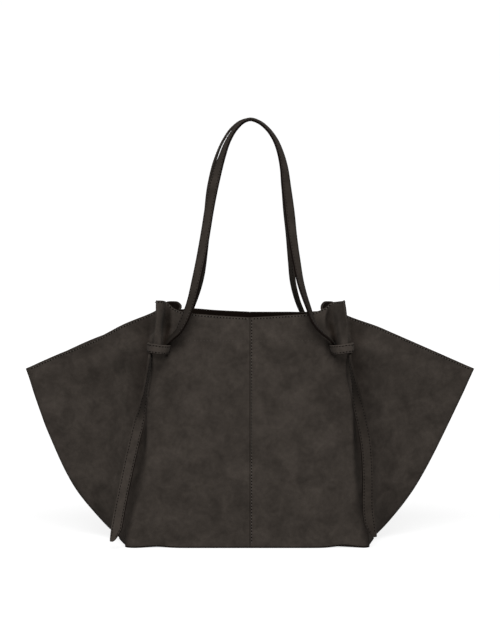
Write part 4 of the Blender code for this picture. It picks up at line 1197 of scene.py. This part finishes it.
def neck_loop(quarter):
    """Closed path of a band round the neck of a pleat: out through one slit and in at the other."""
    wall = LEATHER + GAP + FACING
    off = KNOT_CLEARANCE + STRAP_THICKNESS / 2
    corners = [(3.5, wall), (3.5, 0.0)] + [(line, -off) for line in ROLL_LINES] + [(8.5, 0.0), (8.5, wall)]
    path = [neck_place(quarter, *corner) for corner in corners]
    back = neck_place(quarter, 9.0, wall)[1] - KNOT_BACK_CLEARANCE - STRAP_THICKNESS / 2
    inner_end, outer_end = (np.array([end[0], back]) for end in (path[0], path[-1]))
    path = [inner_end] + path + [outer_end, np.array([KNOT_X, back - STRAP_THICKNESS / 2])]
    return np.array(path[-2:] + path + path[:2])


def knot_stations(side, face, count=170, step=0.0005):
    """Stations of a band, and how far each is to the front."""
    loop = neck_loop((face, side))
    knots = chords(loop)
    places = np.linspace(knots[2], knots[-2], count, endpoint=False)
    centres = smooth_curve(knots, loop, places)
    along = unit(smooth_curve(knots, loop, places + step) - smooth_curve(knots, loop, places - step))
    front = smooth(*BAND_FRONT, centres[:, 1])
    inner = 1.0 - smooth(*BAND_LEAN_END, centres[:, 0])
    sag = -BAND_TILT * (1.0 - smooth(*BAND_TILT_END, centres[:, 0]))
    points = np.column_stack([side * centres[:, 0], face * centres[:, 1], KNOT_HEIGHT + sag])
    outward = np.column_stack([-side * along[:, 1], face * along[:, 0], np.zeros(count)])
    lean = -side * SLIT_SLANT / SLIT_HALF_HEIGHT * inner
    across = unit(np.column_stack([lean, np.zeros(count), np.ones(count)]))
    share, depth, reach = BAND_GATHER
    gather = 1.0 - share * np.exp(-((centres[:, 1] - depth) / reach) ** 2)
    widths = STRAP_WIDTH * mix(BAND_BACK_SHARE, BAND_SHARE, front) * gather
    return Strap(points + outward * (BAND_PROUD * front)[:, None], across, outward, widths), front


def build_knots():
    for face_name, face in FACES.items():
        for side_name, side in SIDES.items():
            strap, front = knot_stations(side, face)
            name = f"{face_name}_band_{side_name}"
            # The bands' lower edges take the dark edge paint: painted shade under the bands
            item = strap_mesh(name, strap, (BAND_LIT_LOOK, SHADED_EDGE_LOOK), dark_edge_side=-1, closed=True)
            dress(item, f"{face_name}_knot_{side_name}")
            rows = strap.stitch_rows(np.nonzero(front > BAND_SEWN)[0], faces=(1,))
            stitches(f"{face_name}_band_stitches_{side_name}", "bag", rows, *STRAP_STITCH, STRAP_THREAD_LOOK)


def handle_strap(face, count=340):
    """Stations of a handle: up one leg, over the crown and down the other, turning as it goes."""
    rise = HANDLE_TOP_HEIGHT - HINGE_HEIGHT
    left, right = (np.array(LEG_SHARES[(face, side)]) * (side, 1.0) for side in (-1, 1))
    flat = np.concatenate([left, right[-2::-1]]) * (HANDLE_FOOT_X, rise)
    knots = chords(flat)
    run = smooth_curve(knots, flat, np.linspace(0.0, knots[-1], count))
    share = np.clip(run[:, 1] / rise, 0.0, 1.0)
    tuck = FOOT_TUCK * (1.0 - smooth(-0.02, 0.05, run[:, 1] / rise))
    depth = mix(HINGE_DEPTH, HANDLE_TOP_DEPTH, share) - tuck
    centres = np.column_stack([run[:, 0], face * depth, HINGE_HEIGHT + run[:, 1]])
    along = unit(np.gradient(centres, axis=0))
    lean = unit(np.array([0.0, face * (HANDLE_TOP_DEPTH - HINGE_DEPTH), rise]))
    side_way = unit(np.cross(along, np.cross((1.0, 0.0, 0.0), lean)))
    turns = [table_at(LEG_TURNS[(face, side)], share) for side in (-1, 1)]
    angle = -face * np.where(run[:, 0] < 0.0, *turns)[:, None] * math.pi / 2
    across = side_way * np.cos(angle) + np.cross(side_way, along) * np.sin(angle)
    below = np.clip(-run[:, 1] / (STRAP_WIDTH / 2), 0.0, HANDLE_FOOT_ROUND)
    gather = mix(HANDLE_FOOT_SHARE, 1.0, smooth(0.0, 0.10, share))
    widths = STRAP_WIDTH * np.sqrt(1.0 - below**2) * gather
    return Strap(centres, across, np.cross(along, across), widths)


def tail_strap(side, face):
    """Stations of a free strap end, edge on under its knot and flat to the front lower down."""
    length = TAIL_LENGTH - TAIL_SHORTER[side]
    straight = length - TAIL_TIP_LENGTH
    drops = np.concatenate([spaced(-TAIL_TOP, 0.0, 8), spaced(0.0, straight, 120),
                            np.linspace(straight, length, 22)])
    share = np.clip(drops / length, 0.0, 1.0)
    reach = TAIL_X + table_at(TAIL_REACHES[side], share)
    depth = np.full(len(drops), face * TAIL_DEPTH)
    centres = np.column_stack([side * reach, depth, TAIL_HINGE_HEIGHT - drops])
    along = unit(np.gradient(centres, axis=0))
    along[drops <= 0.0] = (0.0, 0.0, -1.0)
    outward = np.array([0.0, face, 0.0])
    side_way = unit(np.cross(along, outward))
    side_way = np.where(side_way[:, :1] * side > 0, -side_way, side_way)
    angle = (table_at(TAIL_TURNS[side], share) * math.pi / 2)[:, None]
    across = side_way * np.cos(angle) - outward * np.sin(angle)
    up = np.clip(-drops / (STRAP_WIDTH / 2), 0.0, TAIL_TOP_ROUND)
    left = np.clip((length - drops) / TAIL_TAPER_LENGTH, 0.0, 1.0)
    full = STRAP_WIDTH * np.sqrt(1.0 - up**2)
    widths = full * mix(TAIL_TIP_SHARE, 1.0, left**0.6)
    centres = centres - across * ((full - widths) * TAIL_TIP_LEAN)[:, None]
    return Strap(centres, across, np.cross(along, across), widths)


def build_strap(body, strap, looks, keep):
    """One strap that is a body of its own, with its stitches."""
    dress(strap_mesh(f"{body}_strap", strap, looks), body, body)
    stitches(f"{body}_stitches", body, strap.stitch_rows(keep), *STRAP_STITCH, STRAP_THREAD_LOOK)


def build_straps():
    for face_name, face in FACES.items():
        build_strap(f"{face_name}_handle", handle_strap(face), (STRAP_LOOK, SHADED_EDGE_LOOK), slice(12, -12))
        for side_name, side in SIDES.items():
            looks = (TAIL_LOOKS[side], TAIL_SHADED_EDGE_LOOK)
            build_strap(f"{face_name}_tail_{side_name}", tail_strap(side, face), looks, slice(9, -8))


# The pocket, the zip and the snap

# Pieces of cloth inside: slot, look and how full they are
CLOTHS = {
    "pocket_back": ("lining_cloth", LINING_LOOK, 0.0),
    "pocket_front": ("lining_cloth", LINING_LOOK, 0.0012),
    "zip_tape_upper": ("zip_tape", TAPE_LOOK, 0.0),
    "zip_tape_lower": ("zip_tape", TAPE_LOOK, 0.0),
}
METAL_PIECES = ("zip_teeth", "zip_stop", "zip_slider", "zip_puller", "magnet")


def soft_block(node, look, sag, columns=48, rows=30):
    """Thin cloth that fills the box of its node, slightly full in its middle."""
    low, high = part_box(node)
    x, z = np.meshgrid(np.linspace(low[0], high[0], columns), np.linspace(low[2], high[2], rows))
    swell = np.sin(np.pi * (z - low[2]) / (high[2] - low[2]))
    full = sag * swell * np.sin(np.pi * (x - low[0]) / (high[0] - low[0]))
    ripple = sag * 0.25 * np.sin(x * 140.0 + z * 60.0) * swell
    outer = np.stack([x, high[1] + full + ripple, z], -1)
    inner = np.stack([x, low[1] + full * 0.9 + ripple, z], -1)
    solid = np.ones((rows - 1, columns - 1), bool)
    dress(sheet_solid(f"{node}_cloth", outer, inner, solid, (look,)), node)


def build_pocket():
    for node, (slot, look, sag) in CLOTHS.items():
        soft_block(node, look, sag)


def dress_metal():
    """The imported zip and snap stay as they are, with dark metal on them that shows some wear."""
    for name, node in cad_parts.items():
        if name.startswith(METAL_PIECES):
            node.data.materials.clear()
            node.data.materials.append(METAL_LOOK)


# Floor, light and camera

# Floor glow seen by the camera, by distance
FLOOR_GLOW = {"From Min": 0.6, "From Max": 2.2, "To Min": 0.86, "To Max": 1.0}
FLOOR_COLOUR = (0.55, 0.55, 0.55, 1.0)
FLOOR_SEEN_COLOUR = (0.22, 0.22, 0.22, 1.0)
FLOOR_SIZE = 6.0
FLOOR_DROP = 0.0003
WHITE = (1.0, 1.0, 1.0, 1.0)
WORLD_SEEN = 1.01
FILL_STRENGTH = 0.19
KEY_PLACE = (-0.1, -2.5, 3.0)
KEY_TARGET = (0.0, 0.0, 0.2)
KEY_SIZE = (3.2, 1.3)
KEY_POWER = 178.0
CAMERA_DISTANCE = 2.3
CAMERA_ELEVATION = math.radians(3.65)
CAMERA_TARGET_HEIGHT = 0.292
FRAME_WIDTH = 0.640


def stage_material():
    """White to the camera and in reflections, with the object's shadow kept."""
    n = Nodes(bpy.data.materials.new("floor_look"), clear=True)
    length = n.add("ShaderNodeVectorMath", operation="LENGTH")
    n.feed(n.coords, length.inputs[0])
    fade = n.add("ShaderNodeMapRange", **FLOOR_GLOW)
    n.feed(length.outputs["Value"], fade.inputs["Value"])
    glow = n.add("ShaderNodeEmission")
    n.feed(fade.outputs["Result"], glow.inputs["Strength"])
    both = n.add("ShaderNodeAddShader")
    n.feed(n.add("ShaderNodeBsdfDiffuse", Color=FLOOR_SEEN_COLOUR).outputs[0], both.inputs[0])
    n.feed(glow.outputs[0], both.inputs[1])
    n.show(n.add("ShaderNodeBsdfDiffuse", Color=FLOOR_COLOUR), both, "ShaderNodeOutputMaterial")
    return n.owner


def build_stage():
    mesh = bpy.data.meshes.new("floor")
    corners = [(x * FLOOR_SIZE, y * FLOOR_SIZE, 0) for x, y in ((-1, -1), (1, -1), (1, 1), (-1, 1))]
    mesh.from_pydata(corners, [], [(0, 1, 2, 3)])
    mesh.materials.append(stage_material())
    floor = placed("floor", mesh)
    floor.location.z = -FLOOR_DROP


def build_world():
    """White to the camera and in reflections, and a low even fill for the rest."""
    world = bpy.data.worlds.new("studio")
    bpy.context.scene.world = world
    n = Nodes(world, clear=True)
    fill, seen = (n.add("ShaderNodeBackground", Color=WHITE, Strength=strength)
                  for strength in (FILL_STRENGTH, WORLD_SEEN))
    n.show(fill, seen, "ShaderNodeOutputWorld")


def build_key_light():
    light = bpy.data.lights.new("key", "AREA")
    light.shape = "RECTANGLE"
    light.size, light.size_y = KEY_SIZE
    light.energy = KEY_POWER
    item = placed("key", light)
    item.location = KEY_PLACE
    item.rotation_euler = (Vector(KEY_TARGET) - Vector(KEY_PLACE)).to_track_quat("-Z", "Y").to_euler()


def build_camera():
    camera = bpy.data.cameras.new("camera")
    camera.sensor_fit = "HORIZONTAL"
    camera.sensor_width = 36.0
    camera.lens = camera.sensor_width * CAMERA_DISTANCE / FRAME_WIDTH
    item = placed("camera", camera)
    item.location = (0.0, -CAMERA_DISTANCE * math.cos(CAMERA_ELEVATION),
                     CAMERA_TARGET_HEIGHT + CAMERA_DISTANCE * math.sin(CAMERA_ELEVATION))
    item.rotation_euler = (math.pi / 2 - CAMERA_ELEVATION, 0.0, 0.0)
    bpy.context.scene.camera = item


build_body()
build_insides()
build_base()
build_knots()
build_straps()
build_pocket()
dress_metal()
build_stage()
build_world()
build_key_light()
build_camera()
bpy.context.scene.view_settings.view_transform = "Standard"
